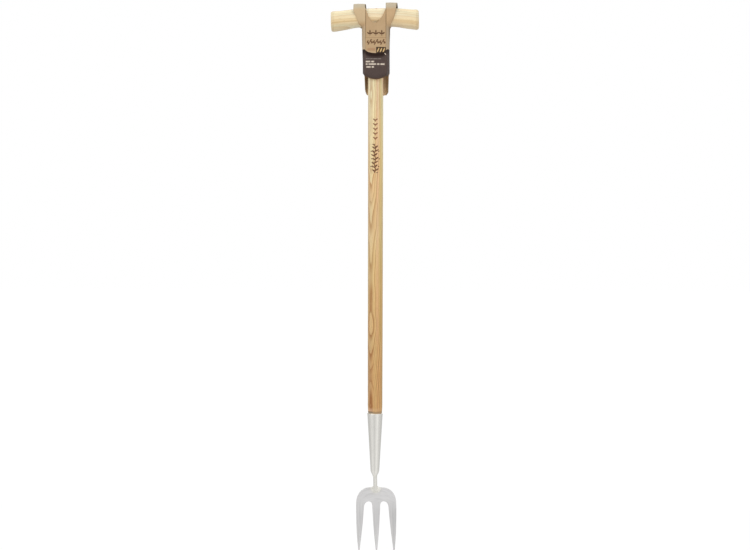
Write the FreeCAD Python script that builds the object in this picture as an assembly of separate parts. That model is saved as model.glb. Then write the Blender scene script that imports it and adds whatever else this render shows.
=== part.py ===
import FreeCAD, Part
import math
import os

# Long-handled three-tine fork with an ash T-bar, and the folded card sleeve that hangs on it.
# Frame: millimetres. The origin is on the shaft's axis at the level of the tine tips. +Z runs up
# the shaft, the T-bar lies along X, and the front of the fork faces -Y. Left is -X, right is +X.

V = FreeCAD.Vector
UP = V(0, 0, 1)


# ---------------------------------------------------------------- helpers
def interp(x, table):
    """Linear interpolation in a table of (x, value), held constant beyond its ends."""
    if x <= table[0][0]:
        return table[0][1]
    for (x0, value0), (x1, value1) in zip(table, table[1:]):
        if x <= x1:
            return value0 + (value1 - value0) * (x - x0) / (x1 - x0)
    return table[-1][1]


def spline(points):
    curve = Part.BSplineCurve()
    curve.interpolate(points)
    return curve.toShape()


def polygon_face(points):
    return Part.Face(Part.makePolygon(points + [points[0]]))


def revolve_polygon(profile):
    """Solid of revolution about Z from a closed list of (r, z) points."""
    return polygon_face([V(r, 0, z) for r, z in profile]).revolve(V(0, 0, 0), UP, 360)


def revolve_edges(edges):
    return Part.Face(Part.Wire(edges)).revolve(V(0, 0, 0), UP, 360)


def largest(shape):
    return max(shape.Solids, key=lambda solid: solid.Volume)


def cap_sphere_radius(cap_radius, cap_height):
    """Radius of the sphere whose cap has the given base radius and height."""
    return (cap_radius ** 2 + cap_height ** 2) / (2 * cap_height)


def save(shape, name):
    if shape.ShapeType != "Solid":
        solids = shape.Solids
        shape = solids[0] if len(solids) == 1 else Part.makeCompound(solids)
    shape.exportStep("parts/" + name + ".step")


# ---------------------------------------------------------------- fork head
HEAD_TOP_Z = 117.6          # top edge of the plate
HEAD_T_TOP = 3.0            # plate thickness at the shoulders
HEAD_T_TIP = 2.1            # plate thickness at the tips
HEAD_TAPER_Z = 70.0         # the plate thins below this level
HEAD_FRONT_Y = 1.2          # front face of the plate at the shoulders
HEAD_FLAT_Z = 96.0          # flat above this level, curving forward below it
HEAD_CURVE_R = 640.0        # radius of that forward curve
HEAD_LOW_Z = -4.0           # the side profile starts below the tips
HEAD_PROFILE_STEPS = 12
HEAD_EDGE_R = 0.55          # linished radius all round the punched outline
HEAD_DX = 2.4               # the head sits this far to the right of the shaft's axis
HEAD_TILT = 0.5             # degrees, right shoulder slightly high
HEAD_TILT_Z = 100.0         # level of the tilt's pivot

TIP_R = 1.05                # rounding of each tine tip
TIP_Z = 1.3                 # centre level of that rounding
TIP_X = 32.35               # outer tines; the middle tine is at 0

# Half outline from the front, (x, z), x from the head's own centre line.
# Outside: from the middle of the top edge to the outer tip.
OUTER = [(0, HEAD_TOP_Z), (10, 117.5), (17.0, 116.7), (23.4, 114.3), (28.4, 110.5),
         (32.2, 105.8), (34.8, 100.5), (36.4, 95.0), (37.1, 87.0), (37.2, 76.0),
         (37.0, 62.0), (36.6, 46.0), (35.95, 30.0), (35.0, 18.0), (34.0, 8.5),
         (TIP_X + TIP_R, TIP_Z)]
# Gap between two tines: from the outer tip up and round to the middle tip.
INNER = [(TIP_X - TIP_R, TIP_Z), (30.45, 9.0), (29.15, 19.0), (27.6, 31.0), (25.85, 46.0),
         (24.6, 58.0), (23.7, 69.0), (22.95, 78.4), (22.25, 83.9), (20.6, 87.6),
         (17.7, 90.3), (14.2, 91.4), (11.2, 90.9), (9.0, 89.1), (7.75, 86.6),
         (7.15, 79.5), (6.6, 69.0), (5.9, 56.0), (5.05, 43.0), (4.05, 30.0),
         (2.95, 18.5), (1.95, 9.0), (TIP_R, TIP_Z)]


def tip_arc(x):
    return Part.Arc(V(x + TIP_R, 0, TIP_Z), V(x, 0, TIP_Z - TIP_R), V(x - TIP_R, 0, TIP_Z)).toShape()


def head_outline():
    right_outer = [V(x, 0, z) for x, z in OUTER]
    left_outer = [V(-x, 0, z) for x, z in reversed(OUTER)]
    edges = [spline(left_outer[:-1] + right_outer),
             tip_arc(TIP_X),
             spline([V(x, 0, z) for x, z in INNER]),
             tip_arc(0),
             spline([V(-x, 0, z) for x, z in reversed(INNER)]),
             tip_arc(-TIP_X)]
    return Part.Face(Part.Wire(Part.__sortEdges__(edges)))


def head_side_profile():
    """Section across the plate: flat at the shoulders, curved forward and thinner at the tips."""
    front, back = [], []
    for i in range(HEAD_PROFILE_STEPS + 1):
        z = HEAD_LOW_Z + (HEAD_FLAT_Z - HEAD_LOW_Z) * i / HEAD_PROFILE_STEPS
        y = HEAD_FRONT_Y - (HEAD_FLAT_Z - z) ** 2 / (2 * HEAD_CURVE_R)
        taper = min(1.0, max(0.0, z / HEAD_TAPER_Z))
        front.append(V(0, y, z))
        back.append(V(0, y + HEAD_T_TIP + (HEAD_T_TOP - HEAD_T_TIP) * taper, z))
    above_top = HEAD_TOP_Z + 8
    front_top = V(0, HEAD_FRONT_Y, above_top)
    back_top = V(0, HEAD_FRONT_Y + HEAD_T_TOP, above_top)
    return Part.Face(Part.Wire([
        spline(front), Part.makeLine(front[-1], front_top), Part.makeLine(front_top, back_top),
        Part.makeLine(back_top, back[-1]), spline(list(reversed(back))),
        Part.makeLine(back[0], front[0])]))


def make_head():
    blank = head_outline().extrude(V(0, 60, 0))
    blank.translate(V(0, -30, 0))
    slab = head_side_profile().extrude(V(100, 0, 0))
    slab.translate(V(-50, 0, 0))
    plate = blank.common(slab).Solids[0]

    # every edge but the short ones that run through the thickness
    edges = []
    for edge in plate.Edges:
        box = edge.BoundBox
        if not (box.YLength > 1.5 and box.ZLength < 0.5 and box.XLength < 0.5):
            edges.append(edge)
    # guards the rounding of the spline edges: if it fails, the plate keeps its sharp edges
    try:
        rounded = plate.makeFillet(HEAD_EDGE_R, edges)
        if rounded.isValid() and rounded.Volume > 0:
            plate = rounded
    except Exception:
        pass

    plate.rotate(V(0, 0, HEAD_TILT_Z), V(0, 1, 0), -HEAD_TILT)
    plate.translate(V(HEAD_DX, 0, 0))
    # bring the lowest tip to z = 0
    lowest = min(point.z for point in plate.tessellate(0.05)[0])
    plate.translate(V(0, 0, -lowest))
    return plate


# ---------------------------------------------------------------- neck rod
NECK_R = 3.6
NECK_LEAN_BOTTOM_X = 0.75   # the rod leans: x at the plate's top edge
NECK_LEAN_TOP_X = 0.35      # x at the pivot, inside the socket's nose
NECK_PIVOT_Z = 143.0
NECK_FOOT_Z = 110.0         # lower end of the rod, on the plate
NECK_TOP_Z = 158.0          # upper end, inside the socket
NECK_SPARE = 6.0            # extra length, trimmed level after the lean
# side view (y, z) of what the bevel takes off the foot's front
NECK_BEVEL = [(0.6, 109.5), (-3.8, 119.5), (-12, 119.5), (-12, 100), (0.6, 100)]


def make_neck_rod(head):
    lean = math.degrees(math.atan2(NECK_LEAN_BOTTOM_X - NECK_LEAN_TOP_X,
                                   NECK_PIVOT_Z - HEAD_TOP_Z))
    rod = Part.makeCylinder(NECK_R, NECK_TOP_Z - NECK_FOOT_Z + NECK_SPARE,
                            V(0, 0, NECK_FOOT_Z), UP)
    rod.rotate(V(0, 0, NECK_PIVOT_Z), V(0, 1, 0), -lean)
    rod.translate(V(NECK_LEAN_TOP_X, 0, 0))
    rod = rod.cut(Part.makeBox(60, 60, 40, V(-30, -30, NECK_TOP_Z)))
    # the foot is notched to lie on the plate's front, and its own front has a long bevel
    rod = rod.cut(Part.makeBox(60, 20, 30, V(-30, HEAD_FRONT_Y, HEAD_TOP_Z - 30)))
    bevel = polygon_face([V(-30, y, z) for y, z in NECK_BEVEL]).extrude(V(60, 0, 0))
    rod = rod.cut(bevel)
    return largest(rod.cut(head))


# ---------------------------------------------------------------- weld on the head
DOME_R = 9.7
DOME_H = 2.5
DOME_X = 1.6
DOME_DROP = 1.1             # centre below the plate's top edge
DOME_BOX_H = 14.0           # the dome is kept this far below the top edge
DOME_BOX_Y = HEAD_FRONT_Y - 6
BEAD_RADII = (5.6, 2.1, 2.4)    # half axes in x, y, z
BEAD_Y = 3.6
BEAD_RISE = 0.3             # centre above the plate's top edge


def make_head_weld(head, rod):
    # in front, a shallow half-disc dome around the rod's foot
    sphere_r = cap_sphere_radius(DOME_R, DOME_H)
    dome = Part.makeSphere(sphere_r, V(DOME_X, HEAD_FRONT_Y + sphere_r - DOME_H,
                                       HEAD_TOP_Z - DOME_DROP))
    dome = dome.common(Part.makeBox(40, 12, DOME_BOX_H,
                                    V(-20 + DOME_X, DOME_BOX_Y, HEAD_TOP_Z - DOME_BOX_H)))
    dome = dome.common(Part.makeBox(40, 6, 40, V(-20, DOME_BOX_Y, 90)))
    dome = largest(dome.cut(rod).cut(head))
    # behind, a small bead along the plate's top edge
    stretch = FreeCAD.Matrix()
    stretch.scale(*BEAD_RADII)
    bead = Part.makeSphere(1.0, V(0, 0, 0)).transformGeometry(stretch)
    bead.translate(V(NECK_LEAN_BOTTOM_X, BEAD_Y, HEAD_TOP_Z + BEAD_RISE))
    bead = largest(bead.cut(rod).cut(head))
    return Part.makeCompound([dome, bead])


# ---------------------------------------------------------------- socket
SOCKET_RIM_Z = 254.7        # open end
SOCKET_RIM_R = 14.0         # outer radius at the rim
SOCKET_CONE_R = 8.1         # outer radius where the cone meets the nose
SOCKET_CONE_Z = 150.2
SOCKET_CONE_TOP_Z = SOCKET_RIM_Z - 3.2      # the rolled lip starts here
SOCKET_FLOOR_Z = SOCKET_CONE_Z + 10         # bottom of the bore
SOCKET_NOSE_Z = 141.2       # lower end of the nose
SOCKET_NOSE_R = NECK_R + 1.35
SOCKET_T = 1.2              # wall
SOCKET_BORE_TOP_R = SOCKET_RIM_R - SOCKET_T
SOCKET_BEAD = 0.28          # how far the rolled lip stands out


def cone_radius(z):
    """Outer radius of the socket's cone at height z."""
    return SOCKET_CONE_R + ((SOCKET_RIM_R - SOCKET_CONE_R) * (z - SOCKET_CONE_Z)
                            / (SOCKET_CONE_TOP_Z - SOCKET_CONE_Z))


def bore_radius(z):
    return cone_radius(z) - SOCKET_T


def make_cone_solid():
    """The socket's cone without its bore, used to trim what lies on it."""
    return revolve_polygon([(0, SOCKET_CONE_Z), (SOCKET_CONE_R, SOCKET_CONE_Z),
                            (SOCKET_RIM_R, SOCKET_CONE_TOP_Z), (0, SOCKET_CONE_TOP_Z)])


def make_socket(rod, rivet_shank):
    cone_top = V(SOCKET_RIM_R, 0, SOCKET_CONE_TOP_Z)
    cone_foot = V(SOCKET_CONE_R, 0, SOCKET_CONE_Z)
    nose_edge = V(SOCKET_NOSE_R, 0, SOCKET_NOSE_Z)
    nose_centre = V(0, 0, SOCKET_NOSE_Z)
    floor_centre = V(0, 0, SOCKET_FLOOR_Z)
    floor_edge = V(bore_radius(SOCKET_FLOOR_Z), 0, SOCKET_FLOOR_Z)
    bore_top = V(SOCKET_BORE_TOP_R, 0, SOCKET_CONE_TOP_Z)
    rim_inside = V(SOCKET_BORE_TOP_R, 0, SOCKET_RIM_Z)
    lip_crest = V(SOCKET_BORE_TOP_R + SOCKET_T * 0.62, 0, SOCKET_RIM_Z + 0.35)
    lip_outside = V(SOCKET_RIM_R + SOCKET_BEAD, 0, SOCKET_RIM_Z - 0.75)
    lip_under = V(SOCKET_RIM_R + SOCKET_BEAD * 0.75, 0, SOCKET_RIM_Z - 2.1)
    nose = spline([cone_foot,
                   V(SOCKET_CONE_R - 0.55, 0, SOCKET_CONE_Z - 3.2),
                   V(SOCKET_CONE_R - 1.75, 0, SOCKET_CONE_Z - 6.2),
                   nose_edge])
    socket = revolve_edges([
        Part.makeLine(cone_top, cone_foot),
        nose,
        Part.makeLine(nose_edge, nose_centre),
        Part.makeLine(nose_centre, floor_centre),
        Part.makeLine(floor_centre, floor_edge),
        Part.makeLine(floor_edge, bore_top),
        Part.makeLine(bore_top, rim_inside),
        Part.Arc(rim_inside, lip_crest, lip_outside).toShape(),
        Part.Arc(lip_outside, lip_under, cone_top).toShape()])
    socket = largest(socket.cut(rod))
    return largest(socket.cut(rivet_shank))


# weld ring under the nose: (radius beyond the rod's, drop below the nose)
NECK_WELD = [(SOCKET_NOSE_R - 0.1 - NECK_R, 0), (0.75, 1.3), (0.2, 2.7), (-0.2, 3.9)]
NECK_WELD_INSIDE_R = NECK_R - 1.5   # inside the rod, which then cuts the ring to fit


def make_neck_weld(rod):
    points = [V(NECK_R + out, 0, SOCKET_NOSE_Z - drop) for out, drop in NECK_WELD]
    inside_low = V(NECK_WELD_INSIDE_R, 0, points[-1].z)
    inside_high = V(NECK_WELD_INSIDE_R, 0, SOCKET_NOSE_Z)
    ring = revolve_edges([spline(points), Part.makeLine(points[-1], inside_low),
                          Part.makeLine(inside_low, inside_high),
                          Part.makeLine(inside_high, points[0])])
    return largest(ring.cut(rod))


# ---------------------------------------------------------------- rivet at the back of the socket
RIVET_Z = 226.0
RIVET_SHANK_R = 2.0
RIVET_HEAD_R = 4.2
RIVET_HEAD_H = 1.9
RIVET_HEAD_SKIRT = 1.2      # the head goes on inwards this far, to meet the cone
RIVET_HEAD_SINK = 0.1
RIVET_SHANK_PROUD = 0.4     # the shank's end inside the head, beyond the cone's surface
RIVET_LEN = 15.0


def make_rivet_shank():
    end_y = cone_radius(RIVET_Z) + RIVET_SHANK_PROUD
    return Part.makeCylinder(RIVET_SHANK_R, RIVET_LEN, V(0, end_y - RIVET_LEN, RIVET_Z),
                             V(0, 1, 0))


def make_rivet(shank, cone_solid):
    sphere_r = cap_sphere_radius(RIVET_HEAD_R, RIVET_HEAD_H)
    rivet_head = Part.makeSphere(sphere_r, V(0, RIVET_HEAD_H - sphere_r, 0))
    rivet_head = rivet_head.common(Part.makeBox(20, 10, 20, V(-10, 0, -10)))
    rivet_head = rivet_head.fuse(Part.makeCylinder(
        RIVET_HEAD_R, RIVET_HEAD_SKIRT, V(0, -RIVET_HEAD_SKIRT, 0), V(0, 1, 0)))
    rivet_head.translate(V(0, cone_radius(RIVET_Z) - RIVET_HEAD_SINK, RIVET_Z))
    return largest(rivet_head.cut(cone_solid).fuse(shank))


# ---------------------------------------------------------------- seam weld, back of the socket
SEAM_R = 1.15
SEAM_SINK = 0.82            # the bead's centre line below the cone's surface
SEAM_Z = (SOCKET_CONE_Z + 2.0, SOCKET_RIM_Z - 5.0)
SEAM_MIN_VOLUME = 0.5       # smaller scraps are dropped


def make_seam(cone_solid, rivet):
    circles = [Part.Wire([Part.makeCircle(SEAM_R, V(0, cone_radius(z) - SEAM_SINK, z), UP)])
               for z in SEAM_Z]
    seam = Part.makeLoft(circles, True, True)
    seam = seam.cut(cone_solid)
    seam = seam.cut(rivet)
    return Part.makeCompound([s for s in seam.Solids if s.Volume > SEAM_MIN_VOLUME])


# ---------------------------------------------------------------- crossbar
BAR_X0, BAR_X1 = -82.9, 79.1
BAR_TILT = 1.38             # degrees, right end high
BAR_TILT_Z = 987.0          # level of the tilt's pivot
BAR_DEPTH_MID = 29.6
BAR_DEPTH_END = 31.6
BAR_POWER = 2.25            # exponent of the squared oval; 2 is an ellipse
BAR_SECTION_POINTS = 24
# (|x|, z) of the top and the underside before the tilt, and (|x|, half depth)
BAR_TOP = [(0, 1003.3), (22, 1003.1), (43, 1002.2), (52, 1001.3), (60, 1000.4), (70, 999.6),
           (84, 999.1)]
BAR_BOTTOM = [(0, 970.2), (22, 969.85), (40, 968.7), (50, 966.8), (58, 965.4), (66, 964.2),
              (74, 963.1), (84, 962.6)]
BAR_HALF_DEPTH = [(0, BAR_DEPTH_MID / 2), (40, BAR_DEPTH_MID / 2), (84, BAR_DEPTH_END / 2)]
# rounded ends: (distance from the middle as a fraction of the half length, section scale)
BAR_END = [(1.0, 0.80), (0.992, 0.915), (0.976, 0.975), (0.953, 1.0)]
BAR_STATIONS = (-70, -60, -50, -40, -25, 0, 25, 40, 50, 60, 70)     # x of the full sections


def bar_section(x, scale):
    """A rounded, slightly squared oval."""
    z_top, z_bottom = interp(abs(x), BAR_TOP), interp(abs(x), BAR_BOTTOM)
    centre_z = (z_top + z_bottom) / 2
    half_height = (z_top - z_bottom) / 2 * scale
    half_depth = interp(abs(x), BAR_HALF_DEPTH) * scale
    points = []
    for i in range(BAR_SECTION_POINTS):
        angle = 2 * math.pi * i / BAR_SECTION_POINTS
        cos, sin = math.cos(angle), math.sin(angle)
        y = half_depth * math.copysign(abs(cos) ** (2 / BAR_POWER), cos)
        z = centre_z + half_height * math.copysign(abs(sin) ** (2 / BAR_POWER), sin)
        points.append(V(x, y, z))
    curve = Part.BSplineCurve()
    curve.interpolate(points, PeriodicFlag=True)
    return Part.Wire([curve.toShape()])


def make_bar_blank():
    middle, half = (BAR_X0 + BAR_X1) / 2, (BAR_X1 - BAR_X0) / 2
    stations = [(middle - fraction * half, scale) for fraction, scale in BAR_END]
    stations += [(x, 1.0) for x in BAR_STATIONS]
    stations += [(middle + fraction * half, scale) for fraction, scale in reversed(BAR_END)]
    blank = Part.makeLoft([bar_section(x, scale) for x, scale in stations], True, False)
    blank.rotate(V(0, 0, BAR_TILT_Z), V(0, 1, 0), -BAR_TILT)
    return blank


def make_crossbar(bar_blank, pin_hole):
    crossbar = largest(bar_blank.cut(Part.makeCylinder(TENON_R, 80, V(0, 0, 940), UP)))
    return largest(crossbar.cut(pin_hole))


# ---------------------------------------------------------------- tenon, wedge and pin
TENON_R = 10.0              # hole through the bar
TENON_GAP = 0.02            # the tenon is this much smaller in radius
KERF_R = TENON_R + 0.01     # the saw kerf is cut a little wider than the tenon
TENON_BLANK_Z = 955.0
TENON_BLANK_LEN = 60.0

WEDGE_T_TOP = 3.4
WEDGE_T_LOW = 0.9
WEDGE_DEPTH = 25.0
WEDGE_TOP_Z = BAR_TOP[0][1] + 2     # above the bar, trimmed flush with it
WEDGE_LOW_Z = BAR_TOP[0][1] - WEDGE_DEPTH
WEDGE_TURN = 7              # degrees about the shaft's axis

PIN_R = 1.75
PIN_X = 4.6
PIN_Z = 984.5
PIN_LEN = 25.0
PIN_HEAD_Y = BAR_DEPTH_MID / 2 - 0.8    # its head is just below the bar's rear surface
PIN_EDGE_R = 0.35
PIN_HOLE_EXTRA = 6.0        # the hole starts this far behind the pin's head


def tenon_cylinder(radius):
    return Part.makeCylinder(radius, TENON_BLANK_LEN, V(0, 0, TENON_BLANK_Z), UP)


def make_wedge_blank():
    corners = [(-WEDGE_T_TOP / 2, WEDGE_TOP_Z), (WEDGE_T_TOP / 2, WEDGE_TOP_Z),
               (WEDGE_T_LOW / 2, WEDGE_LOW_Z), (-WEDGE_T_LOW / 2, WEDGE_LOW_Z)]
    blank = polygon_face([V(x, -20, z) for x, z in corners]).extrude(V(0, 40, 0))
    blank.rotate(V(0, 0, 1003), UP, WEDGE_TURN)
    return blank


def make_wedge(wedge_blank, tenon, pin_hole):
    wedge = largest(wedge_blank.common(tenon))
    return largest(wedge.cut(pin_hole))


def make_pin():
    """Driven from behind, through the bar's rear wall and the tenon."""
    pin = Part.makeCylinder(PIN_R, PIN_LEN, V(PIN_X, PIN_HEAD_Y, PIN_Z), V(0, -1, 0))
    return pin.makeFillet(PIN_EDGE_R, [edge for edge in pin.Edges if edge.Closed])


def make_pin_hole():
    return Part.makeCylinder(PIN_R, PIN_LEN + PIN_HOLE_EXTRA,
                             V(PIN_X, PIN_HEAD_Y + PIN_HOLE_EXTRA, PIN_Z), V(0, -1, 0))


# ---------------------------------------------------------------- shaft
SHAFT_R = 14.0              # true cylinder at the top, where a clip holds it
SHAFT_CYL_LO_Z = 714.0
SHAFT_CYL_HI_Z = 842.0
SHAFT_TOP_R = 14.15         # the shaft swells slightly towards the bar
SHAFT_MID_R = 13.75
SHAFT_MID_Z = 380.0
SHAFT_LOW_R = 13.55
SHAFT_LOW_Z = 300.0
SHAFT_FOOT_Z = 176.0        # end of the foot inside the socket
SHAFT_FIT = 0.05            # clearance in the socket's bore
SHOULDER_Z = 985.0          # the turned profile ends here, inside the bar

# (r, z) from the foot to the top
SHAFT_PROFILE = [
    (0, SHAFT_FOOT_Z),
    (bore_radius(SHAFT_FOOT_Z) - 1.2, SHAFT_FOOT_Z),
    (bore_radius(SHAFT_FOOT_Z + 2) - SHAFT_FIT, SHAFT_FOOT_Z + 2),
    (SOCKET_BORE_TOP_R - SHAFT_FIT - 0.2, SOCKET_RIM_Z - 3.4),
    (SOCKET_BORE_TOP_R - SHAFT_FIT, SOCKET_RIM_Z + 0.6),
    (13.2, SOCKET_RIM_Z + 7.5), (13.5, SOCKET_RIM_Z + 15),
    (SHAFT_LOW_R, SHAFT_LOW_Z), (SHAFT_MID_R, SHAFT_MID_Z),
    (SHAFT_R, SHAFT_CYL_LO_Z), (SHAFT_R, SHAFT_CYL_HI_Z), (SHAFT_TOP_R, 956.0),
    # rounded shoulder under the bar
    (13.95, 960.0), (13.4, 963.6), (12.6, 966.4), (11.7, 968.6), (10.9, 970.4), (10.4, 972.0),
    (10.3, SHOULDER_Z), (0, SHOULDER_Z)]


def make_shaft(bar_blank, tenon, wedge_blank, pin_hole, rivet_shank):
    # the shoulder is scribed to the bar's underside
    shaft = largest(revolve_polygon(SHAFT_PROFILE).cut(bar_blank))
    shaft = largest(shaft.fuse(tenon))
    shaft = largest(shaft.cut(wedge_blank.common(tenon_cylinder(KERF_R))))
    shaft = largest(shaft.cut(pin_hole))
    return largest(shaft.cut(rivet_shank))


# ---------------------------------------------------------------- card sleeve
# One blank of card folded into a six-sided tube. Front and rear panels are flat. Each side is a
# ribbon that runs up from the front, over the crossbar and down the back. Below the bar the front
# and rear ribbons meet at the side corner. All tables give the card's mid-surface; those keyed
# by side have -1 for left and 1 for right.
CARD_T = 0.7
CARD_Y = 16.3               # front and rear panels stand this far from the shaft's axis
FRONT_X, FRONT_HALF_W = -0.1, 18.7
REAR_X, REAR_HALF_W = 1.2, 17.9

# heights of the points on the creases between panel and ribbon
CREASE_Z = [874.7, 905.0, 935.0, 955.0, 964.5, 969.5, 974.0, 978.5, 985.5, 993.0, 998.0]
FRONT_CREASE_Z = {-1: CREASE_Z, 1: CREASE_Z[:9] + [993.9, 999.7]}

# side corner: (z, x)
CORNER_LOW_Z = 883.4
CORNER = {-1: [(CORNER_LOW_Z, -23.6), (893.0, -23.6), (908.0, -23.9), (930.0, -24.9),
               (945.0, -25.2), (962.0, -25.5)],
          1: [(CORNER_LOW_Z, 25.5), (908.0, 25.4), (930.0, 25.1), (945.0, 25.7), (962.0, 26.2)]}

# The rear hangs lower than the front. Its free side edge steps in below the front's lower corner:
# the step and the bottom outer corner (x, y, z), then the height of the bottom of the rear crease.
REAR_STEP = {-1: (-20.7, 0.5, 879.4), 1: (24.0, 0.5, 879.4)}
REAR_LOW_CORNER = {-1: (-19.4, 0.8, 853.0), 1: (23.2, 0.8, 848.8)}
REAR_CREASE_LOW_Z = {-1: 847.2, 1: 845.6}

# outer edge of each front ribbon above the side corner: x, y, z
EAR = {-1: [(-25.4, -4.9, 967.4), (-29.9, -10.8, 970.8), (-32.5, -13.5, 974.2),
            (-36.5, -15.9, 984.0), (-40.6, -16.3, 993.0), (-41.3, -16.1, 998.0)],
       1: [(26.2, -4.9, 967.4), (27.2, -10.8, 971.4), (30.2, -13.9, 977.2),
           (34.3, -16.0, 986.4), (36.4, -16.3, 995.0), (37.0, -16.1, 999.5)]}
EAR_START = len(CREASE_Z) - len(EAR[1])     # crease point level with the first ear point
# the rear edge mirrors the front one in Y and drifts right by this much at its top
EAR_DRIFT = {-1: 1.2, 1: 2.8}

# over the top, from the front fold to the rear fold: (y, z), and (front x, rear x) of each edge
TOP = {-1: [(-13.0, 1004.4), (-7.4, 1009.2), (0.0, 1010.9), (7.4, 1009.2), (13.0, 1004.4)],
       1: [(-12.8, 1006.4), (-7.2, 1011.7), (0.0, 1013.6), (7.2, 1011.7), (12.8, 1006.4)]}
TOP_OUTER_X = {-1: (-41.4, -40.4), 1: (37.2, 41.8)}
TOP_INNER_X = {-1: (-20.2, -17.0), 1: (17.9, 18.6)}

# notch in the top of the front panel, left to right: (x, z)
NOTCH = [(-16.4, 993.0), (-15.2, 988.9), (-13.3, 983.4), (-9.7, 978.4), (-6.0, 974.4),
         (-2.4, 973.4), (1.4, 973.4), (4.9, 975.2), (8.6, 980.2), (12.3, 986.5), (15.2, 993.5)]
REAR_NOTCH_DX = 1.4         # the rear notch is the same, this far to the right

# curved lower edge of a panel: lowest z, and the rise at its sides
FRONT_LOW_Z = 869.4
FRONT_LOW_RISE = CREASE_Z[0] - FRONT_LOW_Z
REAR_LOW_Z, REAR_LOW_RISE = 842.6, 4.0
LOW_EDGE_STEPS = (0.66, 0.33, 0.0, -0.33, -0.66)    # fractions of the half width

COPLANAR_DOT = 0.9995       # unit normals closer than this count as one
MIN_FOLD_DOT = 0.75         # limits the offset at sharp folds
BAR_AXIS_Z = 990.0          # reference level for outward over the bar
OVER_BAR_Z = 975.0          # above this level the ribbon goes round the bar

verts = []          # mid-surface points


def add(x, y, z):
    verts.append(V(x, y, z))
    return len(verts) - 1


def side_ribbon(side):
    """Adds one ribbon's points. Returns its triangles and its front and rear creases."""
    front_inner, front_outer = [], []
    for k, z in enumerate(FRONT_CREASE_Z[side]):
        front_inner.append(add(FRONT_X + side * FRONT_HALF_W, -CARD_Y, z))
        if k < EAR_START:
            corner_z = CORNER_LOW_Z if k == 0 else z
            front_outer.append(add(interp(corner_z, CORNER[side]), 0.0, corner_z))
        else:
            front_outer.append(add(*EAR[side][k - EAR_START]))

    top_inner, top_outer = [], []
    for k, (y, z) in enumerate(TOP[side]):
        f = (k + 1) / (len(TOP[side]) + 1.0)
        for row, (x_front, x_rear) in ((top_inner, TOP_INNER_X[side]),
                                       (top_outer, TOP_OUTER_X[side])):
            row.append(add(x_front * (1 - f) + x_rear * f, y, z))

    # rear, from the top down; the side corner's points are shared with the front
    rear_inner, rear_outer = [], []
    for k in reversed(range(len(CREASE_Z))):
        z = REAR_CREASE_LOW_Z[side] if k == 0 else CREASE_Z[k]
        rear_inner.append(add(REAR_X + side * REAR_HALF_W, CARD_Y, z))
        if k == 0:
            rear_outer.append(add(*REAR_LOW_CORNER[side]))
        elif k < EAR_START:
            rear_outer.append(front_outer[k])
        else:
            x, y, z = EAR[side][k - EAR_START]
            drift = EAR_DRIFT[side] * (k - EAR_START + 1) / len(EAR[side])
            rear_outer.append(add(x + drift, -y, z))

    inner = front_inner + top_inner + rear_inner
    outer = front_outer + top_outer + rear_outer
    triangles = []
    for k in range(len(inner) - 2):
        a, b, c, d = inner[k], outer[k], outer[k + 1], inner[k + 1]
        triangles += [(a, b, c), (a, c, d)]
    # the last row passes through the front's lower corner and the step below it
    a, b, c, d = inner[-2], outer[-2], outer[-1], inner[-1]
    low_corner, step = front_outer[0], add(*REAR_STEP[side])
    triangles += [(a, b, low_corner), (a, low_corner, step), (a, step, c), (a, c, d)]
    return triangles, front_inner, rear_inner[::-1]


def panel_loop(left_crease, right_crease, y, notch_dx, centre_x, half_w, low_z, low_rise):
    """Up the left crease, across the notch, down the right crease, back along the lower edge."""
    notch = [add(x + notch_dx, y, z) for x, z in NOTCH]
    low_edge = [add(centre_x + half_w * t, y, low_z + low_rise * t * t) for t in LOW_EDGE_STEPS]
    return left_crease + notch + right_crease[::-1] + low_edge


def triangle_normal(triangle):
    a, b, c = (verts[i] for i in triangle)
    return (b.sub(a)).cross(c.sub(a))


def face_outwards(triangle):
    """Turns a triangle's normal away from the bar above, or from the shaft's axis below."""
    a, b, c = triangle
    centre = (verts[a] + verts[b] + verts[c]) * (1 / 3.0)
    if centre.z > OVER_BAR_Z:
        outward = V(0, centre.y, max(0.0, centre.z - BAR_AXIS_Z))
    else:
        outward = V(centre.x, centre.y, 0)
    return (a, c, b) if triangle_normal(triangle).dot(outward) < 0 else triangle


def vertex_normals(triangles, panels):
    """Unit normals that meet at each vertex, with coplanar ones merged."""
    normals = {}
    flats = [(t, triangle_normal(t)) for t in triangles] + panels
    for loop, direction in flats:
        normal = V(direction)
        normal.normalize()
        for i in loop:
            known = normals.setdefault(i, [])
            if not any(other.dot(normal) > COPLANAR_DOT for other in known):
                known.append(normal)
    return normals


def half_thickness_offset(normals, panel_normal):
    """Vector from a mid-surface vertex to the card's outer surface."""
    half = CARD_T / 2
    total = V(0, 0, 0)
    if panel_normal is not None:
        for normal in normals:
            if normal.dot(panel_normal) < COPLANAR_DOT:
                total = total + normal
        if total.Length < 1e-9:
            return panel_normal * half
        total.normalize()
        # meets the panel's offset plane and the ribbon's mean offset plane
        return (panel_normal + total) * (1.0 / (1.0 + panel_normal.dot(total))) * half
    for normal in normals:
        total = total + normal
    total.normalize()
    fold = max(min(total.dot(normal) for normal in normals), MIN_FOLD_DOT)
    return total * (half / ((1 + fold) / 2))


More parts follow.
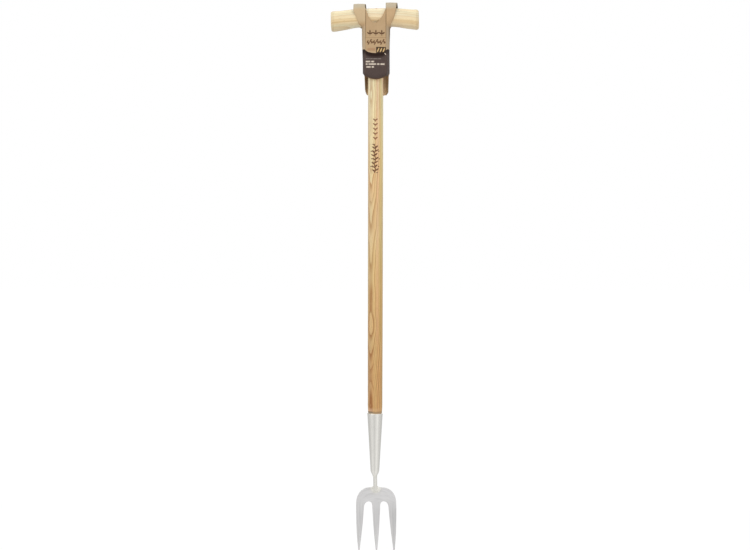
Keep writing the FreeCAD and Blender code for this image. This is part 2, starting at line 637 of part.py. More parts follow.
def thicken(triangles, panels):
    """Solid with outer and inner skins, closed along the free edges."""
    normals = vertex_normals(triangles, panels)
    panel_normals = {i: normal for loop, normal in panels for i in loop}
    offsets = [half_thickness_offset(normals[i], panel_normals.get(i))
               for i in range(len(verts))]
    outside = [point + offset for point, offset in zip(verts, offsets)]
    inside = [point - offset for point, offset in zip(verts, offsets)]

    faces = []
    for triangle in triangles:
        faces.append(polygon_face([outside[i] for i in triangle]))
        faces.append(polygon_face([inside[i] for i in reversed(triangle)]))
    for loop, _ in panels:
        faces.append(polygon_face([outside[i] for i in loop]))
        faces.append(polygon_face([inside[i] for i in loop]))

    # an edge used only once is free
    edge_uses = {}
    for loop in triangles + [loop for loop, _ in panels]:
        for a, b in zip(loop, loop[1:] + loop[:1]):
            edge = (min(a, b), max(a, b))
            edge_uses[edge] = edge_uses.get(edge, 0) + 1
    for (a, b), uses in edge_uses.items():
        if uses == 1:
            faces.append(polygon_face([outside[a], outside[b], inside[b]]))
            faces.append(polygon_face([outside[a], inside[b], inside[a]]))

    shell = Part.makeShell(faces)
    shell.sewShape()
    solid = Part.Solid(shell.Shells[0])
    if solid.Volume < 0:
        solid.reverse()
    return solid


def make_sleeve():
    left_triangles, left_front, left_rear = side_ribbon(-1)
    right_triangles, right_front, right_rear = side_ribbon(1)
    front = panel_loop(left_front, right_front, -CARD_Y, 0.0,
                       FRONT_X, FRONT_HALF_W, FRONT_LOW_Z, FRONT_LOW_RISE)
    rear = panel_loop(left_rear, right_rear, CARD_Y, REAR_NOTCH_DX,
                      REAR_X, REAR_HALF_W, REAR_LOW_Z, REAR_LOW_RISE)
    triangles = [face_outwards(t) for t in left_triangles + right_triangles]
    return thicken(triangles, [(front, V(0, -1, 0)), (rear, V(0, 1, 0))])


# ---------------------------------------------------------------- build and write the parts
os.makedirs("parts", exist_ok=True)

head = make_head()
rod = make_neck_rod(head)
cone_solid = make_cone_solid()
rivet_shank = make_rivet_shank()
rivet = make_rivet(rivet_shank, cone_solid)
bar_blank = make_bar_blank()
tenon = tenon_cylinder(TENON_R - TENON_GAP).common(bar_blank)
wedge_blank = make_wedge_blank()
pin_hole = make_pin_hole()

PARTS = {
    "fork_head": head,
    "head_weld": make_head_weld(head, rod),
    "neck_rod": rod,
    "neck_weld": make_neck_weld(rod),
    "socket": make_socket(rod, rivet_shank),
    "socket_seam_weld": make_seam(cone_solid, rivet),
    "socket_rivet": rivet,
    "shaft": make_shaft(bar_blank, tenon, wedge_blank, pin_hole, rivet_shank),
    "crossbar": make_crossbar(bar_blank, pin_hole),
    "tenon_wedge": make_wedge(wedge_blank, tenon, pin_hole),
    "crossbar_pin": make_pin(),
    "card_sleeve": make_sleeve(),
}
for name, shape in PARTS.items():
    save(shape, name)
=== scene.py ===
import math

import bmesh
import bpy
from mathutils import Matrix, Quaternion, Vector
from mathutils import noise as mnoise


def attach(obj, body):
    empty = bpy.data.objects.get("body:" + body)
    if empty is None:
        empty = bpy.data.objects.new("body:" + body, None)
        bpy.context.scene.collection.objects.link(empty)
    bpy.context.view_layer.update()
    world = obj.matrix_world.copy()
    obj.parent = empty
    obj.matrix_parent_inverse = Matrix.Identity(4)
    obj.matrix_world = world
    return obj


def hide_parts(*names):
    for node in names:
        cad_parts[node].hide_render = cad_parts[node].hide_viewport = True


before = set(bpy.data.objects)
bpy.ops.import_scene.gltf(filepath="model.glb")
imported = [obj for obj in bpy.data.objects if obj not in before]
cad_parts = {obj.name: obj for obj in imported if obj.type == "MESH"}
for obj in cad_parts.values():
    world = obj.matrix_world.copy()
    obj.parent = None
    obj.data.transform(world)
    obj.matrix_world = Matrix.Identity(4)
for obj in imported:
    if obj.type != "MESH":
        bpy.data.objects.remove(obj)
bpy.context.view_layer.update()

# A long-handled three-tine fork with an ash T-bar and a folded kraft card sleeve.
# It stands upright: tines at the bottom, shaft along +Z, crossbar along X, front towards -Y.
# "Left" and "right" are seen from the front, so right is +X.
# Objects are in metres; tables and shader coordinates are in millimetres.
MM = 0.001
WHITE = (1, 1, 1, 1)


# ------------------------------------------------------------------ shader graphs
def linear(colour):
    """sRGB 0..255 to linear RGBA."""
    channels = [v / 255.0 for v in colour]
    return (*[v / 12.92 if v <= 0.04045 else ((v + 0.055) / 1.055) ** 2.4 for v in channels], 1.0)


class Value:
    """An output socket that takes part in arithmetic; each operator adds one Math node."""

    def __init__(self, graph, socket):
        self.graph = graph
        self.socket = socket

    def __add__(self, other):
        return self.graph.math("ADD", self, other)

    def __sub__(self, other):
        return self.graph.math("SUBTRACT", self, other)

    def __rsub__(self, other):
        return self.graph.math("SUBTRACT", other, self)

    def __mul__(self, other):
        return self.graph.math("MULTIPLY", self, other)

    def __abs__(self):
        return self.graph.math("ABSOLUTE", self)


class Graph:
    """Builds nodes in an emptied node tree. Masks are values from 0 to 1."""

    def __init__(self, tree):
        self.tree = tree
        tree.nodes.clear()

    def new(self, kind, **settings):
        node = self.tree.nodes.new("ShaderNode" + kind)
        for key, setting in settings.items():
            setattr(node, key, setting)
        return node

    def put(self, socket, value):
        """Link a value to an input socket, or store a constant there."""
        if isinstance(value, Value):
            self.tree.links.new(value.socket, socket)
        else:
            socket.default_value = value

    def node(self, kind, inputs=(), output=0, **settings):
        """A new node with its inputs filled, given as one of its outputs."""
        node = self.new(kind, **settings)
        for key, value in dict(inputs).items():
            self.put(node.inputs[key], value)
        return Value(self, node.outputs[output])

    # arithmetic
    def math(self, operation, *operands):
        return self.node("Math", dict(enumerate(operands)), operation=operation)

    def mad(self, value, factor, addend):
        return self.math("MULTIPLY_ADD", value, factor, addend)

    def sin(self, value):
        return self.math("SINE", value)

    def union(self, *masks):
        """The largest of several values."""
        result = masks[0]
        for mask in masks[1:]:
            result = self.math("MAXIMUM", result, mask)
        return result

    def remap(self, value, over, to=(0.0, 1.0), **settings):
        """Value mapped from the range `over` to the range `to`, held at the ends."""
        return self.node("MapRange", {0: value, 1: over[0], 2: over[1], 3: to[0], 4: to[1]},
                         **settings)

    def step(self, value, over, to=(0.0, 1.0)):
        """The same with a smooth S-shaped change."""
        return self.remap(value, over, to, interpolation_type="SMOOTHSTEP")

    def fall(self, value, over):
        return self.step(value, over, to=(1.0, 0.0))

    def window(self, value, rise, fall):
        return self.step(value, over=rise) * self.fall(value, over=fall)

    def repeat(self, value, pitch, origin=None):
        """Coordinate within a repeating cell, -pitch/2 to pitch/2."""
        if origin is not None:
            value = value - origin
        return (self.math("FRACT", value * (1 / pitch)) - 0.5) * pitch

    def curve(self, value, points):
        """Smooth function through (value, result) points."""
        start, end = points[0][0], points[-1][0]
        low, high = min(p[1] for p in points), max(p[1] for p in points)
        node = self.new("FloatCurve")
        knots = node.mapping.curves[0].points
        unit = [((x - start) / (end - start), (y - low) / (high - low)) for x, y in points]
        knots[0].location = unit[0]
        knots[1].location = unit[-1]
        for x, y in unit[1:-1]:
            knots.new(x, y)
        node.mapping.update()
        self.put(node.inputs["Value"], self.remap(value, over=(start, end)))
        return self.mad(Value(self, node.outputs[0]), high - low, low)

    # coordinates and textures
    def vec(self, x, y, z):
        return self.node("CombineXYZ", {0: x, 1: y, 2: z})

    def split(self, vector):
        first = self.node("SeparateXYZ", {0: vector})
        return [Value(self, output) for output in first.socket.node.outputs]

    def object_mm(self):
        """Object coordinates in millimetres."""
        metres = self.node("TexCoord", output="Object")
        return self.split(self.node("VectorMath", {0: metres, "Scale": 1000.0}, operation="SCALE"))

    def attribute(self, name):
        return self.node("Attribute", output="Fac", attribute_name=name)

    def texture_noise(self, vector, scale, detail, rough, distortion=0.0):
        return self.node("TexNoise", {"Vector": vector, "Scale": scale, "Detail": detail,
                                      "Roughness": rough, "Distortion": distortion})

    def noise(self, axes, per_mm, detail=2.0, rough=0.5, shift=None, distortion=0.0):
        """Noise over three axes, each with its own frequency (None: axis used as it is).
        shift moves it along the last axis."""
        pairs = list(zip(axes, per_mm))
        terms = [axis if freq is None else axis * freq for axis, freq in pairs[:2]]
        axis, freq = pairs[2]
        if shift is not None:
            terms.append(self.mad(axis, freq, shift))
        else:
            terms.append(axis if freq is None else axis * freq)
        return self.texture_noise(self.vec(*terms), 1.0, detail, rough, distortion)

    def white(self, value):
        return self.node("TexWhiteNoise", {"W": value}, noise_dimensions="1D")

    def edge_distance(self, value, randomness):
        """Distance to the nearest boundary between uneven cells along a line."""
        return self.node("TexVoronoi", {"W": value, "Scale": 1.0, "Randomness": randomness},
                         output="Distance", voronoi_dimensions="1D", feature="DISTANCE_TO_EDGE")

    # colour
    def ramp(self, factor, stops):
        """Stops are (position 0..1, grey level or linear RGBA)."""
        result = self.node("ValToRGB", {0: factor})
        elements = result.socket.node.color_ramp.elements
        while len(elements) > 1:
            elements.remove(elements[-1])
        for k, (position, colour) in enumerate(stops):
            element = elements[0] if k == 0 else elements.new(position)
            element.position = position
            element.color = colour if isinstance(colour, tuple) else (colour,) * 3 + (1.0,)
        return result

    def zones(self, value, stops):
        """Colour by place. Stops are (mm, sRGB)."""
        start, end = stops[0][0], stops[-1][0]
        return self.ramp(self.remap(value, over=(start, end)),
                         [((q - start) / (end - start), linear(colour)) for q, colour in stops])

    def mix(self, factor, a, b, blend="MIX"):
        return self.node("Mix", {0: factor, 6: a, 7: b}, output=2,
                         data_type="RGBA", blend_type=blend)

    def multiply(self, a, b):
        return self.mix(1.0, a, b, "MULTIPLY")

    def fmix(self, factor, a, b):
        return self.node("Mix", {0: factor, 2: a, 3: b}, data_type="FLOAT")

    def stain(self, base, colour, mask, amount=None):
        """Base turned towards an sRGB colour where the mask is, by at most amount."""
        factor = mask if amount is None else mask * amount
        return self.mix(factor, base, linear(colour))

    # masks over two flat coordinates
    def box(self, point, centre, half, soft=0.25):
        out_x = abs(point[0] - centre[0]) - half[0]
        out_y = abs(point[1] - centre[1]) - half[1]
        return self.fall(self.union(out_x, out_y), over=(-soft, soft))

    def ellipse(self, point, centre, radii, angle=0.0, soft=0.15):
        dx, dy = point[0] - centre[0], point[1] - centre[1]
        cos, sin = math.cos(angle), math.sin(angle)
        u = (dx * cos + dy * sin) * (1.0 / radii[0])
        v = (dy * cos - dx * sin) * (1.0 / radii[1])
        return self.fall(self.math("SQRT", u * u + v * v), over=(1.0 - soft, 1.0 + soft))


class Material(Graph):
    """A new material with a Principled surface."""

    def __init__(self, name):
        self.material = bpy.data.materials.new(name)
        self.material.use_nodes = True
        super().__init__(self.material.node_tree)
        self.output = self.new("OutputMaterial")
        self.bsdf = self.new("BsdfPrincipled")
        self.surface_shader = Value(self, self.bsdf.outputs[0])
        self.put(self.output.inputs[0], self.surface_shader)

    def surface(self, colour, roughness, height, bump_mm, strength=0.6, others=()):
        """Fill the Principled node; others maps further input names to values."""
        normal = self.node("Bump", {"Strength": strength, "Distance": bump_mm * MM,
                                    "Height": height})
        inputs = {"Base Color": colour, "Roughness": roughness, "Normal": normal}
        inputs.update(others)
        for name, value in inputs.items():
            self.put(self.bsdf.inputs[name], value)
        return self.material


# ------------------------------------------------------------------ wood
def growth_layers(g, axes, slow, normal, spacing, ripples, seed, offset, wander):
    """Distance through the growth layers, counted in layers."""
    cross_a, cross_b, length = axes
    layers = cross_a * normal[0] + cross_b * normal[1]
    for amplitude, wavelength, phase in ripples:
        turn = (length - phase) * (2 * math.pi / wavelength)
        layers = g.mad(g.sin(turn), amplitude, layers)
    if offset is not None:
        layers = layers + g.curve(length, offset)
    layers = g.mad(slow - 0.5, wander, layers)
    fine = g.noise(axes, per_mm=(0.22, 0.22, 0.010), shift=seed + 4.0)
    layers = g.mad(fine - 0.5, 1.1, layers)
    layers = layers * (1.0 / spacing)
    # uneven ring widths
    return g.mad(g.sin(layers * 1.13), 0.35, layers)


def band_tint(g, colour, axes, slow, bands, low_bands):
    """Broad bands of colour, several layers wide. With low_bands they run across the shaft,
    change over down its length and show on its front only."""
    cross_a, cross_b, length = axes
    if low_bands is None:
        tint = g.zones(g.mad(slow - 0.5, 2.4, cross_b), bands)
        amount = 0.9
    else:
        place = g.mad(slow - 0.5, 1.4, cross_a)
        tint = g.mix(g.step(length, over=(402.0, 366.0)),
                     g.zones(place, bands), g.zones(place, low_bands))
        amount = g.step(cross_b, over=(3.0, -5.0)) * 0.9
    return g.mix(amount, colour, g.multiply(colour, tint))


def shaded_bar_ends(g, colour, x, blotch, centre, half_length):
    """Painted shade on the bar's rounded ends, which turn greyer, with a faint line where they
    start.
    """
    out = abs(x - centre)
    # painted shade: the rounded ends are greyer
    end = g.step(g.mad(blotch - 0.5, 1.6, out), over=(half_length - 5.0, half_length - 3.4))
    colour = g.stain(colour, (196, 176, 144), end, amount=0.26)
    line = g.fall(abs(out - (half_length - 4.9)), over=(0.2, 0.9))
    return g.stain(colour, (170, 146, 104), line, amount=0.22)


SPRIG_X, SPRIG_PITCH, SPRIG_BASE = -0.5, 8.4, 757.6
VINE_X, VINE_BASE, LEAF_PITCH, VINE_WAVE = -1.2, 700.0, 7.0, 18.8
LEAF_ANGLE = 0.62


def burned_ornament(g, x, y, z):
    """Ornament burned into the shaft's front: a column of sprigs above, a leafy vine below."""
    front = g.step(y, over=(-3.0, -6.0))
    # sprigs: two leaves and a stalk in each cell
    point = (x - SPRIG_X, g.repeat(z, SPRIG_PITCH, SPRIG_BASE))
    band = g.window(z, rise=(SPRIG_BASE, 758.0), fall=(799.2, 799.6))
    sprigs = band * g.union(
        g.ellipse(point, centre=(2.2, 0.6), radii=(2.7, 1.15), angle=0.75, soft=0.12),
        g.ellipse(point, centre=(-2.2, 0.6), radii=(2.7, 1.15), angle=-0.75, soft=0.12),
        g.ellipse(point, centre=(0.0, -1.2), radii=(0.8, 2.6), soft=0.12))
    # vine: a waving stem with leaves and outlying tendrils
    wave = g.sin((z - VINE_BASE) * (2 * math.pi / VINE_WAVE)) * 1.1
    out = (x - VINE_X) - wave
    inside = g.window(z, rise=(697.6, 698.2), fall=(751.0, 751.6))
    point = (out, g.repeat(z, LEAF_PITCH, VINE_BASE))
    stem = g.fall(abs(out), over=(0.60, 1.0))
    leaves = g.union(
        g.ellipse(point, centre=(2.9, 0.10 * LEAF_PITCH), radii=(3.6, 1.25),
                  angle=LEAF_ANGLE, soft=0.12),
        g.ellipse(point, centre=(-2.9, -0.16 * LEAF_PITCH), radii=(3.6, 1.25),
                  angle=math.pi - LEAF_ANGLE, soft=0.12))
    point = (abs(out), g.repeat(z, 2 * LEAF_PITCH, 703.0))
    tendrils = g.ellipse(point, centre=(6.9, 0.0), radii=(1.6, 0.8), angle=0.5, soft=0.2) * 1.0
    vine = inside * g.union(stem, g.union(leaves, tendrils))
    patchy = g.noise((x, y, z), per_mm=(1.8, 1.8, 0.5), detail=3.0, rough=0.6)
    return (g.union(sprigs, vine) * front) * g.step(patchy, over=(0.22, 0.5), to=(0.6, 1.0))


def shaft_marks_and_painted_light(g, colour, fibre, x, y, z):
    """Marks on the shaft, with painted light and shade by the sleeve and the socket; returns the
    colour and the mask of the burned ornament.
    """
    # painted light: brighter, yellower wood around the sleeve's lower edge, in place of the shade
    # the sleeve casts on the shaft
    painted_fill = ((g.step(z, over=(838.0, 846.0)) * g.step(z, over=(880.0, 872.0)))
             * g.step(abs(x), over=(9.5, 12.6)))
    painted_fill_colour = g.mix(g.step(x, over=(-2.0, 2.0)),
                         linear((255, 240, 200)), linear((252, 218, 178)))
    painted_fill = (painted_fill * g.step(y, over=(4.0, -2.0))) * g.step(z, over=(864.0, 870.0), to=(0.62, 0.90))
    colour = g.mix(painted_fill, colour, painted_fill_colour)
    # paler wood just above the socket; at its rim a dark line, partly grime and partly painted
    # shade in the gap; below it a painted highlight of the rim's bright edge
    pale = g.step(z, over=(268.0, 261.0)) * g.step(y, over=(2.0, -4.0))
    colour = g.stain(colour, (252, 214, 180), pale,
                     amount=g.step(x, over=(-2.0, -8.0), to=(0.12, 0.34)))
    # painted shade in the gap between the shaft and the socket's mouth, with some grime
    gap_shade_and_grime = g.step(g.mad(fibre - 0.5, 1.2, z), over=(260.0, 258.6))
    colour = g.stain(colour, (96, 84, 64), gap_shade_and_grime,
                     amount=g.step(x, over=(0.0, -8.5), to=(0.42, 0.84)))
    # painted highlight: a pale grey line that carries the socket rim's bright edge onto the wood
    colour = g.stain(colour, (204, 190, 166), g.step(z, over=(257.4, 256.6)),
                     amount=g.step(x, over=(2.0, -7.0), to=(0.35, 0.75)))
    # the sprigs are lighter than the vine below them
    burn = burned_ornament(g, x, y, z)
    burn_colour = g.mix(g.step(z, over=(752.0, 757.0)),
                        linear((92, 44, 20)), linear((122, 62, 34)))
    amount = g.step(z, over=(752.0, 757.0), to=(0.96, 0.88))
    return g.mix(burn * amount, colour, burn_colour), burn


def wood(name, along, layer_normal, spacing, ripples, light, late, pink, gradient, seed=0.0,
         contrast=1.0, bow=0.0, offset=None, wander=5.0, bands=None, low_bands=None, ends=None,
         is_shaft=False):
    """Growth layers cut by the surface, stretched pores and fibres.

    along: "Z" or "X", the grain's direction.
    layer_normal, spacing: unit normal of the layers across the grain, and their thickness.
    ripples: (amplitude, wavelength, phase) waves that tip the layers along the grain.
    light, late, pink: tints that multiply the gradient, which is (mm along, sRGB) stops.
    bow: bend of the layers in 1/mm; offset: (mm along, layer shift) points.
    ends: (centre, half length) of a stick whose rounded ends get painted shade.
    """
    g = Material(name)
    x, y, z = g.object_mm()
    if along == "Z":
        axes = (x, y, z)
    else:
        axes = (y, g.mad(x * x, bow, z), x)
    length = axes[2]
    slow = g.noise(axes, per_mm=(0.030, 0.030, 0.0042), shift=seed)
    layers = growth_layers(g, axes, slow, layer_normal, spacing, ripples, seed, offset, wander)
    ring = g.math("FRACT", layers)
    index = g.math("FLOOR", layers)
    ring_strength = g.white(index + (3.7 + seed))
    ring_hue = g.white(index + (19.3 + seed))
    latewood = g.ramp(ring, [(0.0, 0.10), (0.10, 0.0), (0.42, 0.05), (0.74, 0.55), (0.93, 1.0),
                             (1.0, 0.12)])
    earlywood = g.ramp(ring, [(0.0, 1.0), (0.32, 0.75), (0.55, 0.05), (1.0, 0.25)])
    # long fibres and broad streaks
    fibre = g.noise(axes, per_mm=(1.9, 1.9, 0.012), detail=5.0, rough=0.62, shift=seed)
    streak = g.noise(axes, per_mm=(0.45, 0.45, 0.0032), detail=3.0, rough=0.55, shift=seed + 9.0)
    # pores: short dark dashes, mostly in the early wood
    pores = g.noise(axes, per_mm=(4.4, 4.4, 0.23), detail=1.0, shift=seed)
    pores = g.step(pores, over=(0.60, 0.70)) * g.mad(earlywood, 0.8, 0.2)
    # rays: tiny pale flecks
    rays = g.noise(axes, per_mm=(2.2, 2.2, 0.09), shift=seed + 30.0)

    base = g.zones(length, gradient)
    late_colour, pink_colour, light_colour = [
        g.multiply(base, linear(tint)) for tint in (late, pink, light)]
    colour = g.mix(g.step(ring_hue, over=(0.35, 0.9)), light_colour, pink_colour)
    colour = g.mix(g.step(streak, over=(0.46, 0.64)) * 0.45, colour, pink_colour)
    if bands is not None:
        colour = band_tint(g, colour, axes, slow, bands, low_bands)
    late_mask = latewood * g.mad(ring_strength, 0.6, 0.55)
    if is_shaft:
        # the figure fades up the shaft
        contrast = g.step(length, over=(620.0, 400.0), to=(contrast * 0.72, contrast))
    colour = g.mix(late_mask * contrast, colour, late_colour)
    colour = g.stain(colour, (150, 105, 60), fibre - 0.5, amount=0.9)
    colour = g.stain(colour, (255, 238, 205), g.step(rays, over=(0.58, 0.75)), amount=0.18)
    colour = g.stain(colour, (128, 88, 50), pores, amount=0.42)
    # slightly darker patches
    blotch = g.noise(axes, per_mm=(0.06, 0.06, 0.012), shift=seed + 2.0)
    colour = g.stain(colour, (120, 84, 50), g.step(blotch, over=(0.35, 0.75)), amount=0.10)
    height = pores * -0.9 + (fibre * 0.35 + latewood * 0.25)
    if ends is not None:
        colour = shaded_bar_ends(g, colour, x, blotch, *ends)
    roughness = g.mad(fibre, 0.10, 0.41) + pores * 0.14
    if is_shaft:
        colour, burn = shaft_marks_and_painted_light(g, colour, fibre, x, y, z)
        height = height - burn * 1.6
        roughness = g.fmix(burn, roughness, 0.72)
    return g.surface(colour, roughness, height, bump_mm=0.10, strength=0.75,
                     others={"IOR": 1.45, "Specular IOR Level": 0.42,
                             "Coat Weight": 0.06, "Coat Roughness": 0.35})


# ------------------------------------------------------------------ steel
# heat tint around a point of the fork head: centre (x, z), inner and outer radius
TINT_X, TINT_Z, TINT_INNER, TINT_OUTER = 1.6, 116.5, 9.8, 15.0


def head_marks_and_shade(g, colour, x, z, blotch, smear):
    """Heat tint, grinding streaks, painted shade on the tines and painted shade on the edges of the
    fork head.
    """
    dx, dz = x - TINT_X, z - TINT_Z
    distance = g.math("SQRT", dx * dx + dz * dz)
    distance = g.mad(smear - 0.5, 3.0, distance)
    straw = g.window(distance, rise=(TINT_INNER, TINT_INNER + 1.2),
                     fall=(TINT_INNER + 2.0, TINT_OUTER))
    colour = g.stain(colour, (222, 206, 176), straw, amount=0.08)
    blue = g.window(distance, rise=(TINT_INNER - 1.2, TINT_INNER),
                    fall=(TINT_INNER + 0.4, TINT_INNER + 1.6))
    colour = g.stain(colour, (160, 164, 176), blue, amount=0.10)
    # painted shade: the tines are darker than the shoulders, and the right-hand tine darkest
    right = g.step(g.mad(blotch - 0.5, 20.0, x), over=(4.0, 34.0))
    colour = g.stain(colour, (112, 112, 112), right * g.step(z, over=(110.0, 60.0)), amount=0.12)
    colour = g.stain(colour, (128, 128, 128), g.step(z, over=(98.0, 62.0), to=(0.0, 0.15)))
    # grinding streaks: along the tines, and bowed across the shoulders
    tine = g.noise((x, 0.0, z), per_mm=(0.34, 1.0, 0.012), detail=3.0, rough=0.6, shift=3.0)
    bowed_z = g.mad((x - 2.4) * (x - 2.4), 0.011, z)
    shoulder = g.noise((x, 0.0, bowed_z), per_mm=(0.035, 1.0, 0.62), detail=4.0, rough=0.7)
    streak = g.fmix(g.step(z, over=(92.0, 84.0)), shoulder, tine)
    colour = g.stain(colour, (150, 150, 151), g.step(streak, over=(0.42, 0.68), to=(0.0, 0.22)))
    colour = g.stain(colour, (252, 252, 252), g.step(streak, over=(0.44, 0.28), to=(0.0, 0.30)))
    # painted shade on the sheared edge, where its bevel turns away from the light: found where a
    # bevelled normal leaves the true one
    bevel = g.node("Bevel", {"Radius": 0.9 * MM}, samples=6)
    normal = g.node("NewGeometry", output="Normal")
    match = g.node("VectorMath", {0: bevel, 1: normal}, output="Value", operation="DOT_PRODUCT")
    return g.stain(colour, (120, 120, 120), g.step(match, over=(0.995, 0.93), to=(0.0, 0.42)))


def brushed(name, base, rough, streaks, seed, anisotropy=0.0, polar=False, is_head=False):
    """Stainless steel brushed along Z; polar wraps the streaks round the Z axis."""
    g = Material(name)
    x, y, z = g.object_mm()
    axes = (x, y, z)
    if polar:
        axes = (g.math("ARCTAN2", x, y * -1.0) * 13.0, 0.0, z)
    coarse = g.noise(axes, per_mm=(2.6, 2.6, 0.035), detail=4.0, rough=0.65, shift=seed)
    fine = g.noise(axes, per_mm=(9.0, 9.0, 0.12), rough=0.6, shift=seed + 5)
    blotch = g.noise((x, y, z), per_mm=(0.05, 0.05, 0.03), detail=3.0, rough=0.55, shift=seed + 2)
    smear = g.noise((x, y, z), per_mm=(0.13, 0.13, 0.06), detail=4.0, rough=0.6, shift=seed + 7)
    shade = g.mad(coarse - 0.5, streaks * 2, 1.0) + (fine - 0.5) * streaks
    shade = shade + (blotch - 0.5) * 0.08
    colour = g.multiply(linear(base), g.vec(shade, shade, shade))
    colour = g.stain(colour, (150, 146, 138), g.step(smear, over=(0.55, 0.8)), amount=0.12)
    if is_head:
        colour = head_marks_and_shade(g, colour, x, z, blotch, smear)
    roughness = g.mad(coarse, 0.14, rough - 0.07) + g.step(smear, over=(0.45, 0.8)) * 0.07
    others = {"Metallic": 1.0}
    if anisotropy:
        others["Anisotropic"] = anisotropy
        others["Tangent"] = g.node("Tangent", direction_type="RADIAL", axis="Z")
    return g.surface(colour, roughness, coarse + fine * 0.5, bump_mm=0.012, others=others)


def weld_steel(name):
    g = Material(name)
    axes = g.object_mm()
    ripple = g.noise(axes, per_mm=(0.55, 0.55, 0.75), detail=4.0, rough=0.6)
    pits = g.noise(axes, per_mm=(2.6, 2.6, 2.6), detail=3.0, rough=0.6)
    wave = g.sin(axes[2] * 4.6 + ripple * 7.0)
    colour = g.mix(g.step(ripple, over=(0.35, 0.68)),
                   linear((222, 220, 212)), linear((255, 253, 246)))
    colour = g.stain(colour, (120, 115, 106), g.step(pits, over=(0.6, 0.72)), amount=0.35)
    height = wave * 0.18 + (ripple * 1.0 + pits * 0.35)
    return g.surface(colour, g.mad(pits, 0.22, 0.30), height, bump_mm=0.20, strength=0.36,
                     others={"Metallic": 0.92})


def pin_steel(name):
    g = Material(name)
    axes = g.object_mm()
    mottle = g.noise(axes, per_mm=(1.6, 1.6, 1.6), detail=4.0, rough=0.6)
    fine = g.noise(axes, per_mm=(7.0, 7.0, 7.0), rough=0.6)
    colour = g.mix(g.step(mottle, over=(0.35, 0.7)),
                   linear((178, 176, 171)), linear((206, 204, 199)))
    return g.surface(colour, g.mad(mottle, 0.2, 0.26), fine, bump_mm=0.02,
                     others={"Metallic": 1.0})


# ------------------------------------------------------------------ materials on the CAD nodes
# (z, sRGB) up the shaft
SHAFT_GRADIENT = [
    (255.0, (226, 188, 137)), (341.4, (229, 193, 141)), (399.0, (235, 204, 153)),
    (478.2, (239, 210, 159)), (535.8, (240, 217, 168)), (586.2, (243, 224, 182)),
    (658.2, (244, 222, 179)), (723.0, (253, 233, 190)), (838.2, (255, 246, 214)),
    (975.0, (255, 254, 232))]
# (z, shift of the growth layers): steep stretches slant the figure, a hump closes an eye
SHAFT_LAYERS = [
    (250, 2.7), (289, 1.6), (312, 0.5), (328, 0.0), (345, 0.6), (398, 4.0), (421, 4.9),
    (446, 4.1), (475, 3.6), (530, 3.6), (560, 4.6), (600, 7.0), (660, 10.6), (700, 12.7),
    (730, 13.6), (790, 14.2), (860, 14.7), (980, 15.0)]
# (x, sRGB) bands across the shaft
SHAFT_BANDS = [
    (-14.5, (227, 224, 218)), (-10.0, (235, 235, 231)), (-6.5, (242, 242, 233)),
    (-3.7, (245, 242, 228)), (-1.9, (240, 231, 211)), (0.6, (245, 234, 217)),
    (3.7, (248, 231, 228)), (5.5, (250, 236, 224)), (7.6, (238, 228, 200)),
    (9.3, (236, 235, 200)), (11.1, (238, 242, 218)), (14.5, (228, 234, 226))]
# the same lower down, where the left side turns browner and the right side paler
SHAFT_BANDS_LOW = [
    (-14.5, (216, 212, 212)), (-11.0, (222, 220, 220)), (-7.4, (227, 213, 202)),
    (-5.5, (226, 213, 194)), (-3.7, (237, 230, 211)), (-1.9, (246, 247, 234)),
    (1.9, (246, 245, 220)), (3.7, (248, 235, 224)), (5.5, (255, 247, 226)),
    (7.4, (255, 238, 216)), (9.2, (250, 252, 234)), (14.5, (242, 252, 246))]
# (x, sRGB) along the crossbar
BAR_GRADIENT = [(-85.0, (247, 241, 210)), (0.0, (254, 249, 224)), (85.0, (252, 246, 216))]
# (z, sRGB) bands up the crossbar
BAR_BANDS = [
    (960.0, (240, 240, 240)), (966.0, (252, 252, 252)), (969.5, (255, 255, 255)),
    (972.6, (238, 230, 220)), (975.3, (255, 252, 246)), (978.4, (236, 222, 200)),
    (981.0, (248, 240, 224)), (984.5, (255, 252, 244)), (989.3, (255, 255, 255)),
    (991.4, (244, 243, 240)), (993.6, (255, 255, 255)), (996.3, (240, 240, 236)),
    (998.6, (252, 252, 250)), (1004.0, (238, 238, 232))]
WEDGE_GRADIENT = [(960.0, (232, 206, 160)), (1010.0, (232, 206, 160))]

shaft_wood = wood(
    "ash_shaft", along="Z", layer_normal=(-0.59, -0.81), spacing=2.3,
    ripples=[(0.25, 61.0, 520.0)], light=(255, 254, 247), late=(172, 126, 78),
    pink=(252, 234, 222), gradient=SHAFT_GRADIENT, contrast=0.95, offset=SHAFT_LAYERS,
    wander=1.6, bands=SHAFT_BANDS, low_bands=SHAFT_BANDS_LOW, is_shaft=True)
bar_wood = wood(
    "ash_crossbar", along="X", layer_normal=(0.35, 0.94), spacing=4.2,
    ripples=[(1.2, 260.0, 30.0), (0.4, 77.0, 10.0)], light=(255, 253, 246),
    late=(214, 182, 136), pink=(253, 238, 224), gradient=BAR_GRADIENT, seed=11.0,
    contrast=0.60, bow=0.00094, wander=2.6, bands=BAR_BANDS, ends=(-1.9, 81.0))
wedge_wood = wood(
    "wedge_hardwood", along="Z", layer_normal=(1.0, 0.0), spacing=0.9,
    ripples=[(0.3, 40.0, 0.0)], light=(255, 244, 228), late=(206, 166, 124),
    pink=(246, 226, 206), gradient=WEDGE_GRADIENT, seed=23.0, contrast=0.8)
socket_steel = brushed("stainless_socket", base=(244, 242, 236), rough=0.20, streaks=0.07,
                       seed=1.0, anisotropy=0.3, polar=True)
head_steel = brushed("stainless_head", base=(233, 232, 232), rough=0.38, streaks=0.05,
                     seed=3.0, is_head=True)
neck_steel = brushed("stainless_neck", base=(240, 238, 231), rough=0.28, streaks=0.05,
                     seed=5.0, anisotropy=0.3)
weld_metal = weld_steel("weld_metal")
rivet_steel = pin_steel("rivet_steel")

